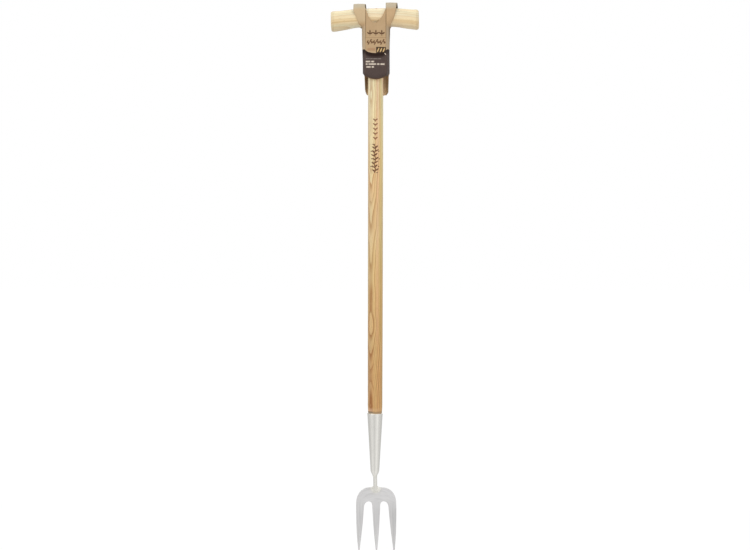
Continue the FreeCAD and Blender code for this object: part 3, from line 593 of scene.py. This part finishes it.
CAD_MATERIALS = {
    "shaft": shaft_wood, "crossbar": bar_wood, "tenon_wedge": wedge_wood,
    "socket": socket_steel, "fork_head": head_steel, "neck_rod": neck_steel,
    "head_weld": weld_metal, "neck_weld": weld_metal, "socket_seam_weld": weld_metal,
    "socket_rivet": rivet_steel, "crossbar_pin": rivet_steel,
}
for node_name, material in CAD_MATERIALS.items():
    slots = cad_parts[node_name].data.materials
    slots.clear()
    slots.append(material)


# ------------------------------------------------------------------ the card sleeve
# A flat front and rear panel, joined on each side by a strip that runs up the front crease,
# over the crossbar as an ear and down the rear crease. Side is -1 left, 1 right.
CARD_Y = 16.3                              # panels' distance from the shaft's axis
CARD_THICKNESS = 0.6
PANEL_CENTRE = (-0.1, 1.2)                 # x of the front and rear panel
PANEL_HALF = (18.7, 17.9)
PANEL_BOTTOM = ((869.4, 5.3), (842.6, 4.0))  # z at the middle, rise to the creases
NOTCH_SHIFT = (0.0, 1.4)                   # x shift of the top notch, front and rear
PANEL_COLUMNS = 28
STRIP_COLUMNS = 8

# z of the stations up a crease; the last six have an ear outside them
CREASE_Z = [874.7, 905.0, 935.0, 955.0, 964.5, 969.5, 974.0, 978.5, 985.5, 993.0, 998.0]
EAR_START = 5
RIGHT_LIFT = {9: 0.9, 10: 1.7}             # the right front crease stands higher there
CORNER_FOOT = 883.4                        # bottom of the side corners
# ear's outer edge (x, y, z) on the front
EAR = {
    -1: [(-25.4, -4.9, 967.4), (-29.9, -10.8, 970.8), (-32.5, -13.5, 974.2),
         (-36.5, -15.9, 984.0), (-40.6, -16.3, 993.0), (-41.3, -16.1, 998.0)],
    1: [(26.2, -4.9, 967.4), (27.2, -10.8, 971.4), (30.2, -13.9, 977.2),
        (34.3, -16.0, 986.4), (36.4, -16.3, 995.0), (37.0, -16.1, 999.5)]}
EAR_REAR_SHIFT = {-1: 1.2, 1: 2.8}         # x shift of its top at the rear
# arch over the bar (y, z), front to rear, and x of its edges at the front and rear
TOP = {
    -1: [(-13.0, 1004.4), (-7.4, 1009.2), (0.0, 1010.9), (7.4, 1009.2), (13.0, 1004.4)],
    1: [(-12.8, 1006.4), (-7.2, 1011.7), (0.0, 1013.6), (7.2, 1011.7), (12.8, 1006.4)]}
TOP_OUTER_X = {-1: (-41.4, -40.4), 1: (37.2, 41.8)}
TOP_INNER_X = {-1: (-20.2, -17.0), 1: (17.9, 18.6)}
CREST = 1011                               # the print height is mirrored about this
# top edge of the panels between the ears (x, z)
NOTCH = [
    (-18.9, 998.6), (-16.4, 993.0), (-15.2, 988.9), (-13.3, 983.4), (-9.7, 978.4),
    (-6.0, 974.4), (-2.4, 973.4), (1.4, 973.4), (4.9, 975.2), (8.6, 980.2), (12.3, 986.5),
    (15.2, 993.5), (18.6, 999.7)]
# rear flap below the corners: outer edge (x, y, z), and z of its crease's end
FLAP = {-1: [(-20.7, 0.5, 879.4), (-19.4, 0.8, 853.0)], 1: [(24.0, 0.5, 879.4), (23.2, 0.8, 848.8)]}
FLAP_Z = {-1: 847.2, 1: 845.6}
# side corner (z, x)
CORNER = {
    -1: [(883.4, -23.6), (893.0, -23.6), (908.0, -23.9), (930.0, -24.9), (945.0, -25.2),
         (962.0, -25.5)],
    1: [(883.4, 25.5), (908.0, 25.4), (930.0, 25.1), (945.0, 25.7), (962.0, 26.2)]}
# rows of faces in each span between stations, up the front, over and down the rear
SPAN_ROWS = [3, 3, 2, 2, 3, 3, 3, 4, 4, 3, 3, 3, 4, 4, 3, 3,
             3, 3, 4, 4, 3, 3, 3, 2, 2, 3, 3, 2]
FRONT_END = len(CREASE_Z) - 1              # last station on the front crease
REAR_START = FRONT_END + len(TOP[1]) + 1   # first on the rear crease


def interp(x, points):
    """Straight-line interpolation, held at the ends."""
    if x <= points[0][0]:
        return points[0][1]
    for (a, at_a), (b, at_b) in zip(points, points[1:]):
        if x <= b:
            return at_a + (at_b - at_a) * (x - a) / (b - a)
    return points[-1][1]


def catmull(p0, p1, p2, p3, t):
    return 0.5 * ((2 * p1) + (p2 - p0) * t + (2 * p0 - 5 * p1 + 4 * p2 - p3) * t * t
                  + (3 * p1 - p0 - 3 * p2 + p3) * t ** 3)


def resample(points):
    """Spline through the stations; returns the points and their fractional stations."""
    path, stations = [], []
    for i, rows in enumerate(SPAN_ROWS):
        p1, p2 = points[i], points[i + 1]
        p0 = points[i - 1] if i > 0 else p1 + (p1 - p2)
        p3 = points[i + 2] if i + 2 < len(points) else p2 + (p2 - p1)
        for k in range(rows):
            path.append(catmull(p0, p1, p2, p3, k / rows))
            stations.append(i + k / rows)
    path.append(points[-1])
    stations.append(len(points) - 1.0)
    return path, stations


def unevenness(x, z, seed):
    """Slight unevenness of a folded card."""
    return (0.35 * mnoise.noise(Vector((x * 0.045, z * 0.03, 3.1 + 7 * seed)))
            + 0.12 * mnoise.noise(Vector((x * 0.16, z * 0.11, 9.7 + seed))))


card_mesh = bmesh.new()
# place on the flat blank, for the print: distance from the panel's middle, height,
# 0 front or 1 rear, and distance from the crease
BLANK_LAYERS = [card_mesh.verts.layers.float.new(name)
                for name in ("blank_s", "blank_h", "blank_k", "crease_mm")]


def add_vertex(point, *blank):
    """A vertex at a point in millimetres, with its four blank values."""
    vertex = card_mesh.verts.new([coordinate * MM for coordinate in point])
    for layer, value in zip(BLANK_LAYERS, blank):
        vertex[layer] = value
    return vertex


def add_faces(grid, flip):
    """Quads between neighbouring lines of vertices."""
    for line, following in zip(grid, grid[1:]):
        for k in range(len(line) - 1):
            quad = (line[k], line[k + 1], following[k + 1], following[k])
            card_mesh.faces.new(tuple(reversed(quad)) if flip else quad)


def strip_edges(side):
    """A strip's stations: crease edge, outer edge and height on the blank."""
    inner, outer, heights = [], [], []

    def add(inner_point, outer_point, height):
        inner.append(Vector(inner_point))
        outer.append(Vector(outer_point))
        heights.append(height)

    front_x, rear_x = [centre + side * half for centre, half in zip(PANEL_CENTRE, PANEL_HALF)]

    def corner(z):
        return (interp(z, CORNER[side]), 0.0, z)

    for k, z in enumerate(CREASE_Z):
        if side > 0:
            z += RIGHT_LIFT.get(k, 0.0)
        if k < EAR_START:
            edge = corner(CORNER_FOOT if k == 0 else z)
        else:
            edge = EAR[side][k - EAR_START]
        add((front_x, -CARD_Y, z), edge, z)
    for k, (y, z) in enumerate(TOP[side]):
        f = (k + 1) / (len(TOP[side]) + 1.0)
        inner_x, outer_x = [front * (1 - f) + rear * f
                            for front, rear in (TOP_INNER_X[side], TOP_OUTER_X[side])]
        point = Vector((inner_x, y, z))
        add(point, (outer_x, y, z), heights[-1] + (point - inner[-1]).length)
    for k in range(FRONT_END, 0, -1):
        z = CREASE_Z[k]
        if k < EAR_START:
            edge = corner(z)
        else:
            ear_x, ear_y, ear_z = EAR[side][k - EAR_START]
            edge = (ear_x + EAR_REAR_SHIFT[side] * (k - 4) / 6.0, -ear_y, ear_z)
        add((rear_x, CARD_Y, z), edge, z)
    feet = (CORNER_FOOT, 876.0, FLAP_Z[side])
    for z, edge in zip(feet, [corner(CORNER_FOOT)] + FLAP[side]):
        add((rear_x, CARD_Y, z), edge, z)
    return inner, outer, heights


def side_strip(side):
    """Build one side strip; returns the vertices of its front and rear crease."""
    inner, outer, heights = strip_edges(side)
    inner_path, stations = resample(inner)
    outer_path, _ = resample(outer)
    last = len(inner) - 1
    grid = []
    for j, (a, b, station) in enumerate(zip(inner_path, outer_path, stations)):
        span = min(int(station), last - 1)
        part = station - span
        # straight stretches stay straight: no spline overshoot on the tube
        if station <= 4 or station >= last - 6:
            a = inner[span].lerp(inner[span + 1], part)
            b = outer[span].lerp(outer[span + 1], part)
        over_bar = FRONT_END < station < REAR_START
        height, rear = a.z, float(station >= REAR_START)
        if over_bar:
            height = heights[span] + (heights[span + 1] - heights[span]) * part
            if station > (FRONT_END + REAR_START) / 2:
                rear = 1.0
                height = min(height, 2 * CREST - height)
        width = (b - a).length
        forward = inner_path[min(j + 1, len(inner_path) - 1)] - inner_path[max(j - 1, 0)]
        outward = (b - a).cross(forward)
        if outward.length > 1e-6:
            outward.normalize()
        if a.z < 975:
            centre = Vector((0, 0, a.z))
        else:
            centre = Vector((a.x * 0.8, 0, min(a.z, 987)))
        if outward.dot((a + b) / 2 - centre) < 0:
            outward = -outward
        # the strip's two cut ends slope, and the print follows them
        slope = (b.z - a.z) if station <= 1 or station >= last - 1 else 0.0
        line = []
        for k in range(STRIP_COLUMNS + 1):
            f = k / STRIP_COLUMNS
            point = a.lerp(b, f)
            if 0 < k < STRIP_COLUMNS:
                bulge = 0.45 * math.sin(math.pi * f)
                point = point + outward * (
                    bulge + 0.6 * unevenness(f * 22 * side, point.z, rear + 2))
            crease = 30.0 if over_bar else f * width
            line.append(add_vertex(point, side * (PANEL_HALF[int(rear)] + f * width),
                                   height + slope * f, rear,
                                   min(crease, (1 - f) * width + 4.0)))
        grid.append(line)
    add_faces(grid, flip=side < 0)
    front = [line[0] for line, station in zip(grid, stations) if station <= FRONT_END]
    rear = [line[0] for line, station in zip(grid, stations) if station >= REAR_START]
    return front, rear


def panel(kind, left, right):
    """Flat panel between two creases, both listed upwards; kind is 0 front, 1 rear."""
    outward = 1 if kind else -1
    centre, half = PANEL_CENTRE[kind], PANEL_HALF[kind]
    bottom, bottom_rise = PANEL_BOTTOM[kind]
    columns = [left]
    for c in range(1, PANEL_COLUMNS):
        t = -1 + 2 * c / PANEL_COLUMNS
        # more columns near the creases
        t = math.sin(t * math.pi / 2) * 0.35 + t * 0.65
        f = (t + 1) / 2
        x = centre + half * t
        z_top = interp(x - NOTCH_SHIFT[kind], NOTCH)
        z_bottom = bottom + bottom_rise * t * t
        bow = 1 - t * t
        levels = [(a.co.z + (b.co.z - a.co.z) * f) / MM for a, b in zip(left, right)]
        column = []
        for level in levels:
            share = (level - levels[0]) / (levels[-1] - levels[0])
            z = z_bottom + (z_top - z_bottom) * share
            y = outward * (CARD_Y + (0.55 * bow + bow * unevenness(x, z, kind)))
            column.append(add_vertex((x, y, z), x - centre, z, float(kind), half * (1 - abs(t))))
        columns.append(column)
    columns.append(right)
    for a, b in zip(columns, columns[1:]):
        for j in range(len(a) - 1):
            quad = (a[j], b[j], b[j + 1], a[j + 1])
            card_mesh.faces.new(quad if kind == 0 else tuple(reversed(quad)))


left_front, left_rear = side_strip(-1)
right_front, right_rear = side_strip(1)
panel(0, left_front, right_front)
panel(1, left_rear[::-1], right_rear[::-1])
# join the two halves along the side corners, below the bar's windows
corners = [v for v in card_mesh.verts
           if abs(v.co.y) < 0.9 * MM and 0.876 < v.co.z < 0.9655 and abs(v.co.x) > 0.02]
bmesh.ops.remove_doubles(card_mesh, verts=corners, dist=0.0002)
bmesh.ops.recalc_face_normals(card_mesh, faces=card_mesh.faces)
# normals must look outwards: test on a face of the front panel
front_spot = Vector((0.0008, -0.021, 0.92))
front_face = min(card_mesh.faces, key=lambda f: (f.calc_center_median() - front_spot).length)
if front_face.normal.y > 0:
    bmesh.ops.reverse_faces(card_mesh, faces=card_mesh.faces)


def link_mesh(name, mesh_data):
    """Turn a bmesh into an object in the scene."""
    mesh = bpy.data.meshes.new(name)
    mesh_data.to_mesh(mesh)
    mesh_data.free()
    obj = bpy.data.objects.new(name, mesh)
    bpy.context.scene.collection.objects.link(obj)
    return obj


card = link_mesh("card_sleeve_folded", card_mesh)
for polygon in card.data.polygons:
    polygon.use_smooth = True
card.data.set_sharp_from_angle(angle=math.radians(28))

# upper edge of the charcoal band (distance from the panel's middle, height)
CHARCOAL_EDGE = [(0.0, 917.5), (6.0, 917.9), (10.0, 918.6), (14.0, 919.7), (16.5, 921.2),
                 (18.7, 922.8), (24.0, 925.6), (34.0, 927.0)]


class PrintedCard(Material):
    """Outer face of the sleeve: kraft stock, a charcoal band, and print on the blank."""

    def __init__(self, name):
        super().__init__(name)
        self.side, self.height, self.rear_flag, self.crease = [
            self.attribute(layer) for layer in ("blank_s", "blank_h", "blank_k", "crease_mm")]
        self.x, _, self.z = self.object_mm()
        self.blank = (self.side, self.height, self.rear_flag)
        self.point = (self.side, self.height)
        self.from_middle = abs(self.side)
        self.front = self.fall(self.rear_flag, over=(0.4, 0.6))
        self.rear = self.step(self.rear_flag, over=(0.4, 0.6))
        self.mottle = self.blank_noise((0.09, 0.07), detail=4.0, rough=0.6)
        self.fibre = self.blank_noise((0.9, 2.6), detail=5.0, rough=0.7, distortion=0.6)

    def blank_noise(self, per_mm, **settings):
        return self.noise(self.blank, (*per_mm, None), **settings)

    def kraft(self):
        """Kraft stock: long fibres, specks, a soft mottle, painted shade on the folded sides and
        painted sheen on the ears' tops.
        """
        specks = self.blank_noise((2.2, 2.0))
        front, from_middle, z = self.front, self.from_middle, self.z
        kraft = self.mix(self.mottle, linear((190, 159, 119)), linear((212, 180, 140)))
        kraft = self.stain(kraft, (168, 134, 96), self.step(self.fibre, over=(0.42, 0.75)),
                           amount=0.30)
        kraft = self.stain(kraft, (122, 90, 60), self.step(specks, over=(0.66, 0.76)), amount=0.35)
        kraft = self.stain(kraft, (236, 212, 176), self.fall(specks, over=(0.24, 0.34)),
                           amount=0.25)
        # painted shade: the folded side facets are greyer than the flat front, which is toned
        # slightly darker and cooler
        side_facet_shade = self.step(from_middle, over=(18.6, 19.4)) * self.step(z, over=(972.0, 964.0))
        flat = ((front * self.step(from_middle, over=(19.4, 18.6)))
                * self.step(z, over=(1000.0, 985.0)))
        kraft = self.mix(flat, kraft, self.multiply(kraft, linear((243, 244, 246))))
        kraft = self.stain(kraft, (184, 172, 152), side_facet_shade, amount=0.50)
        # the left ear is lighter
        left_ear = self.step(self.side, over=(-18.6, -19.4)) * self.step(z, over=(970.0, 980.0))
        kraft = self.stain(kraft, (220, 206, 172), left_ear, amount=0.28)
        # painted sheen: the folded tops of the ears are greyer
        ear_top_sheen = self.step(self.mad(self.mottle - 0.5, 5.0, z), over=(996.0, 1005.0))
        return self.stain(kraft, (182, 176, 158), ear_top_sheen, amount=0.70)

    def charcoal(self, kraft):
        """Charcoal band with a dished upper edge; it covers the whole rear."""
        side, from_middle = self.side, self.from_middle
        edge = self.curve(self.math("MINIMUM", from_middle, CHARCOAL_EDGE[-1][0]), CHARCOAL_EDGE)
        edge = self.fmix(self.front, 2000.0, edge)
        below_edge = edge - self.height
        self.band = self.step(below_edge, over=(-0.25, 0.25))
        self.ink_mottle = self.blank_noise((0.35, 0.35), detail=4.0, rough=0.6)
        ink = self.mix(self.ink_mottle, linear((69, 56, 52)), linear((92, 78, 73)))
        # browner just under the edge
        brown = (self.step(below_edge, over=(12.0, 4.0))
                 * self.step(side, over=(19.0, 12.0), to=(0.8, 1.0)))
        ink = self.stain(ink, (35, 17, 9), brown, amount=0.96)
        ink = self.stain(ink, (106, 90, 82), self.step(self.fibre, over=(0.5, 0.8)),
                         amount=self.fmix(brown, 0.22, 0.12))
        # worn rim along the front panel's bottom
        bottom, rise = PANEL_BOTTOM[0]
        above_bottom = self.height - self.mad(side * side, rise / PANEL_HALF[0] ** 2, bottom)
        rim = ((self.step(above_bottom, over=(2.2, 0.6)) * self.front)
               * self.step(from_middle, over=(19.2, 18.2)))
        ink = self.stain(ink, (112, 84, 56), rim, amount=0.60)
        colour = self.mix(self.band, kraft, ink)
        # painted shade: a dark strip on the right-hand corner fold below the bar, standing for the
        # shaded rear half seen past the fold
        corner_fold_shade = ((self.step(self.x, over=(23.0, 24.6)) * self.step(self.z, over=(968.5, 966.5)))
                * self.step(self.z, over=(940.0, 954.0), to=(0.35, 1.0)))
        colour = self.stain(colour, (84, 70, 56), corner_fold_shade, amount=0.50)
        cream_line = (self.fall(abs(below_edge + 0.9), over=(0.35, 0.7))
                      * self.fall(from_middle, over=(18.2, 19.0)))
        return self.stain(colour, (226, 208, 178), cream_line, amount=0.22)

    def ink(self, mask, colour, amount, where=None):
        """Print a colour on the front, or on another part of the card."""
        where = self.front if where is None else where
        self.colour = self.stain(self.colour, colour, mask * where, amount)

    def greek(self, y, half_height, start, end, pitch, seed, colour, amount, where=None):
        """A line of small blocks in place of lettering, broken into words."""
        letters = self.edge_distance(self.mad(self.side, 1.0 / pitch, seed), 0.75)
        words = self.edge_distance(self.mad(self.side, 1.0 / (pitch * 5.2), seed * 1.7), 1.0)
        blocks = self.step(letters, over=(0.05, 0.14)) * self.step(words, over=(0.05, 0.09))
        line = self.box(self.point, centre=((start + end) / 2, y),
                        half=((end - start) / 2, half_height), soft=0.18)
        self.ink(line * blocks, colour, amount, where)

    def front_print(self):
        side, height, point = self.side, self.height, self.point
        # three sprigs in a row over a thin rule
        for x in (-10.6, 0.2, 11.0):
            sprig = self.union(
                self.ellipse(point, centre=(x - 2.7, 953.9), radii=(3.1, 1.35), angle=-0.55),
                self.ellipse(point, centre=(x + 2.7, 953.9), radii=(3.1, 1.35), angle=0.55),
                self.ellipse(point, centre=(x, 956.6), radii=(1.25, 3.3)),
                self.box(point, centre=(x, 951.4), half=(0.45, 2.6), soft=0.2))
            self.ink(sprig, (84, 54, 36), amount=0.90)
        rule = self.box(point, centre=(0.0, 945.9), half=(PANEL_HALF[0], 0.3), soft=0.2)
        self.ink(rule, (120, 86, 58), amount=0.65)
        # a running vine, two leaves to each wave
        wavelength = 11.6
        vine = self.mad(self.sin(side * (2 * math.pi / wavelength)), 1.3, 937.6)
        inside = self.fall(abs(side - 0.9), over=(16.9, 17.5))
        stem = self.fall(abs(height - vine), over=(0.60, 1.0))
        cell = self.repeat(side, wavelength / 2)
        leaves = self.union(
            self.ellipse((cell, height - vine), centre=(-0.5, 2.2), radii=(2.7, 1.25), angle=0.95),
            self.ellipse((cell, height - vine), centre=(1.5, -2.0), radii=(2.4, 1.2), angle=0.75))
        self.ink(self.union(stem, leaves) * inside, (96, 64, 42), amount=0.90)
        # a faint patch and beside it a small dark label with three slanting bars
        patch = self.box(point, centre=(-8.2, 924.3), half=(7.2, 2.4), soft=0.5)
        weave = self.sin(side * 3.1 + self.sin(height * 2.6) * 2.0)
        weave = self.step(weave, over=(-0.6, 0.6), to=(0.35, 1.0))
        self.ink((patch * weave) * (1.0 - self.band), (158, 104, 78), amount=0.60)
        label = self.box(point, centre=(9.6, 923.1), half=(8.9, 5.6)) * 1.0
        self.ink(label, (46, 32, 24), amount=0.94)
        for x in (4.4, 9.6, 14.8):
            bar = self.ellipse(point, centre=(x, 923.1), radii=(1.25, 4.3), angle=-0.42, soft=0.10)
            self.ink(bar, (214, 180, 126), amount=0.93)
        fleck = self.ellipse(point, centre=(17.4, 916.0), radii=(2.0, 0.7), angle=-0.9)
        self.ink(fleck, (232, 218, 198), amount=0.95)
        self.greek(907.0, half_height=0.65, start=-18.2, end=9.9, pitch=1.2, seed=3.3,
                   colour=(158, 148, 140), amount=0.8)
        for y, end, seed in ((901.9, -3.0, 8.1), (897.2, 16.4, 1.9), (892.0, -3.0, 5.2)):
            self.greek(y, half_height=1.4, start=-18.2, end=end, pitch=2.2, seed=seed,
                       colour=(228, 214, 196), amount=0.95)

    def rear_print(self):
        """A paragraph, a plain block of bars and a shorter paragraph."""
        rear, point = self.rear, self.point
        for i, y in enumerate((959.0, 954.6, 950.2, 945.8, 941.4, 937.0)):
            self.greek(y, half_height=0.8, start=-14.5, end=14.5 - (i % 3) * 3.4, pitch=1.5,
                       seed=2.7 + i * 1.9, colour=(206, 190, 164), amount=0.75, where=rear)
        self.ink(self.box(point, centre=(0.0, 880.5), half=(13.0, 8.4)),
                 (232, 226, 214), amount=0.95, where=rear)
        bars = self.step(self.white(self.math("FLOOR", self.side * 2.2)), over=(0.45, 0.5))
        self.ink(self.box(point, centre=(0.0, 881.5), half=(11.0, 6.2), soft=0.2) * bars,
                 (40, 36, 36), amount=0.92, where=rear)
        for i, y in enumerate((909.0, 904.8, 900.6)):
            self.greek(y, half_height=0.75, start=-14.5, end=12.0 - i * 4.0, pitch=1.5,
                       seed=4.4 + i * 2.3, colour=(196, 184, 166), amount=0.7, where=rear)

    def crease_shade_and_wear(self):
        """Fold lines darkened partly by cracked ink and partly by painted shade in the creases, and
        handling marks; returns the fold mask.
        """
        fold = self.fall(self.crease, over=(0.35, 1.25))
        broken = self.blank_noise((0.4, 0.8), detail=3.0, rough=0.6)
        crease_darkening_by_height = (self.step(self.z, over=(925.0, 965.0), to=(0.25, 1.0))
                * self.step(self.z, over=(1004.0, 992.0), to=(0.3, 1.0)))
        # fold lines: partly cracked ink, partly painted shade in the creases
        crease_shade_and_cracks = (fold * crease_darkening_by_height) * self.step(broken, over=(0.3, 0.6), to=(0.7, 1.0))
        self.colour = self.stain(self.colour, (112, 84, 54), crease_shade_and_cracks, amount=0.72)
        rub = self.blank_noise((0.5, 0.22), detail=5.0, rough=0.7)
        self.colour = self.stain(self.colour, (150, 138, 128),
                                 self.step(rub, over=(0.62, 0.78)) * self.band, amount=0.22)
        return fold

    def build(self):
        self.colour = self.charcoal(self.kraft())
        self.front_print()
        self.rear_print()
        fold = self.crease_shade_and_wear()
        roughness = self.fmix(self.band, self.mad(self.fibre, 0.12, 0.78),
                              self.mad(self.ink_mottle, 0.15, 0.58))
        height = self.fibre * 0.6 + (self.mottle * 0.8 - fold * 1.2)
        return self.surface(self.colour, roughness, height, bump_mm=0.10,
                            others={"Specular IOR Level": 0.18})


def bare_card(name, dark_tone, light_tone, loop_shade):
    """Unprinted kraft; the last argument is the strength of the painted shade inside the loops over
    the bar.
    """
    g = Material(name)
    x, y, z = axes = g.object_mm()
    mottle = g.noise(axes, per_mm=(0.08, 0.08, 0.05), detail=4.0, rough=0.6)
    fibre = g.noise(axes, per_mm=(0.9, 0.9, 2.4), detail=5.0, rough=0.7)
    specks = g.noise(axes, per_mm=(2.1, 2.1, 2.1))
    colour = g.mix(mottle, linear(dark_tone), linear(light_tone))
    colour = g.stain(colour, (110, 80, 52), g.step(fibre, over=(0.45, 0.75)), amount=0.3)
    colour = g.stain(colour, (84, 60, 38), g.step(specks, over=(0.66, 0.76)), amount=0.3)
    # painted shade inside the loops over the bar
    loop_shade_mask = g.step(g.mad(mottle - 0.5, 3.0, z), over=(988.0, 996.0))
    colour = g.stain(colour, (58, 46, 32), loop_shade_mask, amount=loop_shade)
    # the flap's long edges are darker
    edges = g.union(g.step(x, over=(-16.0, -17.4)), g.step(x, over=(19.4, 21.0)))
    colour = g.stain(colour, (46, 36, 26), edges * g.step(z, over=(880.0, 864.0)), amount=0.42)
    return g.surface(colour, g.mad(fibre, 0.12, 0.82), fibre + mottle, bump_mm=0.08,
                     others={"Specular IOR Level": 0.25})


card.data.materials.append(PrintedCard("kraft_printed").build())
# painted light: the inside kraft has lighter tones than the outer stock, in place of fill light
# inside the sleeve
card.data.materials.append(bare_card(
    "kraft_inside", dark_tone=(222, 193, 154), light_tone=(236, 211, 174), loop_shade=0.9))
card.data.materials.append(bare_card(
    "kraft_cut_edge", dark_tone=(186, 158, 122), light_tone=(204, 176, 140), loop_shade=0.6))
thickness = card.modifiers.new("thickness", "SOLIDIFY")
thickness.thickness = CARD_THICKNESS * MM
thickness.offset = 0.0
thickness.use_even_offset = True
thickness.use_rim = True
thickness.material_offset = 1
thickness.material_offset_rim = 2
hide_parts("card_sleeve")
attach(card, "root")

# ------------------------------------------------------------------ floor
# brightness reflected from below the horizon by direction in degrees
# (0 = towards the camera, + = camera's right)
FLOOR_LIT = [
    (-180, 0.62), (-150, 0.60), (-125, 0.56), (-105, 0.60), (-86, 0.64), (-66, 0.76),
    (-46, 0.78), (-28, 0.72), (-9, 0.60), (9, 0.74), (26, 0.82), (44, 0.90), (60, 0.72),
    (80, 0.66), (100, 0.64), (125, 0.56), (150, 0.60), (180, 0.62)]


def floor_material():
    """Pale paper: mostly self-lit so that it stays white, with some real shading near the
    fork for a soft contact shadow."""
    g = Material("studio_floor")
    position = g.node("TexCoord", output="Object")
    x, y, _ = g.split(position)
    radius = g.math("SQRT", x * x + y * y)
    shaded = g.step(radius, over=(0.15, 0.9), to=(0.22, 0.0))
    speck = g.texture_noise(position, scale=260.0, detail=3.0, rough=0.6)
    soft = g.texture_noise(position, scale=1.7, detail=2.0, rough=0.5)
    colour = g.mix(speck, linear((249, 249, 249)), linear((253, 253, 252)))
    g.put(g.bsdf.inputs["Base Color"], colour)
    g.put(g.bsdf.inputs["Roughness"], g.mad(soft, 0.1, 0.85))
    g.put(g.bsdf.inputs["Specular IOR Level"], 0.1)
    # white to the camera; to everything else a darker reflector that varies by direction
    turn = g.mad(g.math("ARCTAN2", x, y * -1.0), 0.5 / math.pi, 0.5)
    stops = [((angle + 180.0) / 360.0, level) for angle, level in FLOOR_LIT]
    lit = g.node("RGBToBW", {0: g.ramp(turn, stops)})
    strength = g.fmix(g.node("LightPath", output="Is Camera Ray"), lit, 1.02)
    glow = g.node("Emission", {0: WHITE, 1: strength})
    g.put(g.output.inputs[0], g.node("MixShader", {0: shaded, 1: glow, 2: g.surface_shader}))
    return g.material


floor_mesh = bmesh.new()
bmesh.ops.create_grid(floor_mesh, x_segments=24, y_segments=24, size=30.0)
floor = link_mesh("studio_floor", floor_mesh)
floor.location = (0, 0, -0.0004)
floor.data.materials.append(floor_material())

# ------------------------------------------------------------------ world
# brightness of the studio tent's panels by direction in degrees
# (0 = behind the camera, + = camera's right)
PANELS = [
    (-180, 0.60), (-150, 0.52), (-121, 0.58), (-92, 0.78), (-64, 0.92), (-44, 0.88),
    (-24, 0.76), (-8, 0.60), (10, 0.74), (30, 0.98), (48, 1.04), (66, 0.74), (90, 0.62),
    (118, 0.60), (140, 0.86), (162, 0.80), (180, 0.60)]
TENT_STRENGTH = 0.98


def build_world():
    """The tent that the tool reflects; the camera itself sees plain white."""
    world = bpy.data.worlds.new("studio")
    bpy.context.scene.world = world
    world.use_nodes = True
    g = Graph(world.node_tree)
    x, y, z = g.split(g.node("TexCoord", output="Generated"))
    turn = g.math("ARCTAN2", x, y * -1.0) * (0.5 / math.pi) + 0.5
    # panels are slightly warm, except at the seam behind the tool
    stops = [((angle + 180) / 360.0, (level, level * 0.995, level * 0.985, 1))
             for angle, level in PANELS[1:-1]]
    panels = g.ramp(turn, [(0.0, PANELS[0][1])] + stops + [(1.0, PANELS[-1][1])])
    elevation = g.math("ARCSINE", z)
    brightness = g.remap(elevation, over=(-0.3, 1.1), to=(0.88, 1.22))
    # the panels' contrast fades towards the zenith
    fade = g.remap(abs(elevation), over=(0.6, 1.3))
    colour = g.mix(fade, panels, (0.82, 0.82, 0.82, 1))
    lit = g.node("Background", {0: colour, 1: brightness * TENT_STRENGTH})
    seen = g.node("Background", {0: WHITE, 1: 1.0})
    is_camera = g.node("LightPath", output="Is Camera Ray")
    g.put(g.new("OutputWorld").inputs[0], g.node("MixShader", {0: is_camera, 1: lit, 2: seen}))


build_world()


# ------------------------------------------------------------------ lights
def softbox(name, location, aim_z, size, power, colour=(1, 1, 1)):
    """Rectangular light aimed at a height on the shaft's axis."""
    light = bpy.data.lights.new(name, "AREA")
    light.shape = "RECTANGLE"
    light.size, light.size_y = size
    light.energy = power
    light.color = colour
    obj = bpy.data.objects.new(name, light)
    obj.location = location
    direction = Vector((0, 0, aim_z)) - Vector(location)
    obj.rotation_euler = direction.to_track_quat("-Z", "Y").to_euler()
    bpy.context.scene.collection.objects.link(obj)


softbox("key_softbox", location=(-2.0, -1.7, 2.2), aim_z=0.6, size=(2.0, 2.2), power=18,
        colour=(1.0, 0.99, 0.97))
softbox("front_softbox", location=(-0.2, -3.2, 1.0), aim_z=0.6, size=(2.2, 2.2), power=6.0,
        colour=(1.0, 0.995, 0.985))
softbox("fill_softbox", location=(2.4, -1.7, 0.8), aim_z=0.5, size=(1.6, 2.0), power=4,
        colour=(0.98, 0.99, 1.0))
softbox("top_softbox", location=(0.0, 0.0, 2.9), aim_z=0.6, size=(1.8, 1.8), power=8)
softbox("back_softbox", location=(0.9, 2.4, 1.5), aim_z=0.6, size=(1.6, 1.8), power=8)

# ------------------------------------------------------------------ camera
CAMERA_DISTANCE = 1.85                     # metres in front of the shaft's axis
CAMERA_ROLL = math.radians(0.12)

camera_data = bpy.data.cameras.new("camera")
camera_data.sensor_width = 36.0
camera_data.lens = 48.0
camera_data.clip_start, camera_data.clip_end = 0.05, 100.0
camera = bpy.data.objects.new("camera", camera_data)
camera.rotation_mode = "QUATERNION"
look = Vector((0, 1, 0)).to_track_quat("-Z", "Y")
camera.rotation_quaternion = look @ Quaternion((0, 0, 1), CAMERA_ROLL)
camera.location = (-0.0006, -CAMERA_DISTANCE, 0.5106)
scene = bpy.context.scene
scene.collection.objects.link(camera)
scene.camera = camera
scene.view_settings.view_transform = "Standard"
scene.view_settings.look = "None"
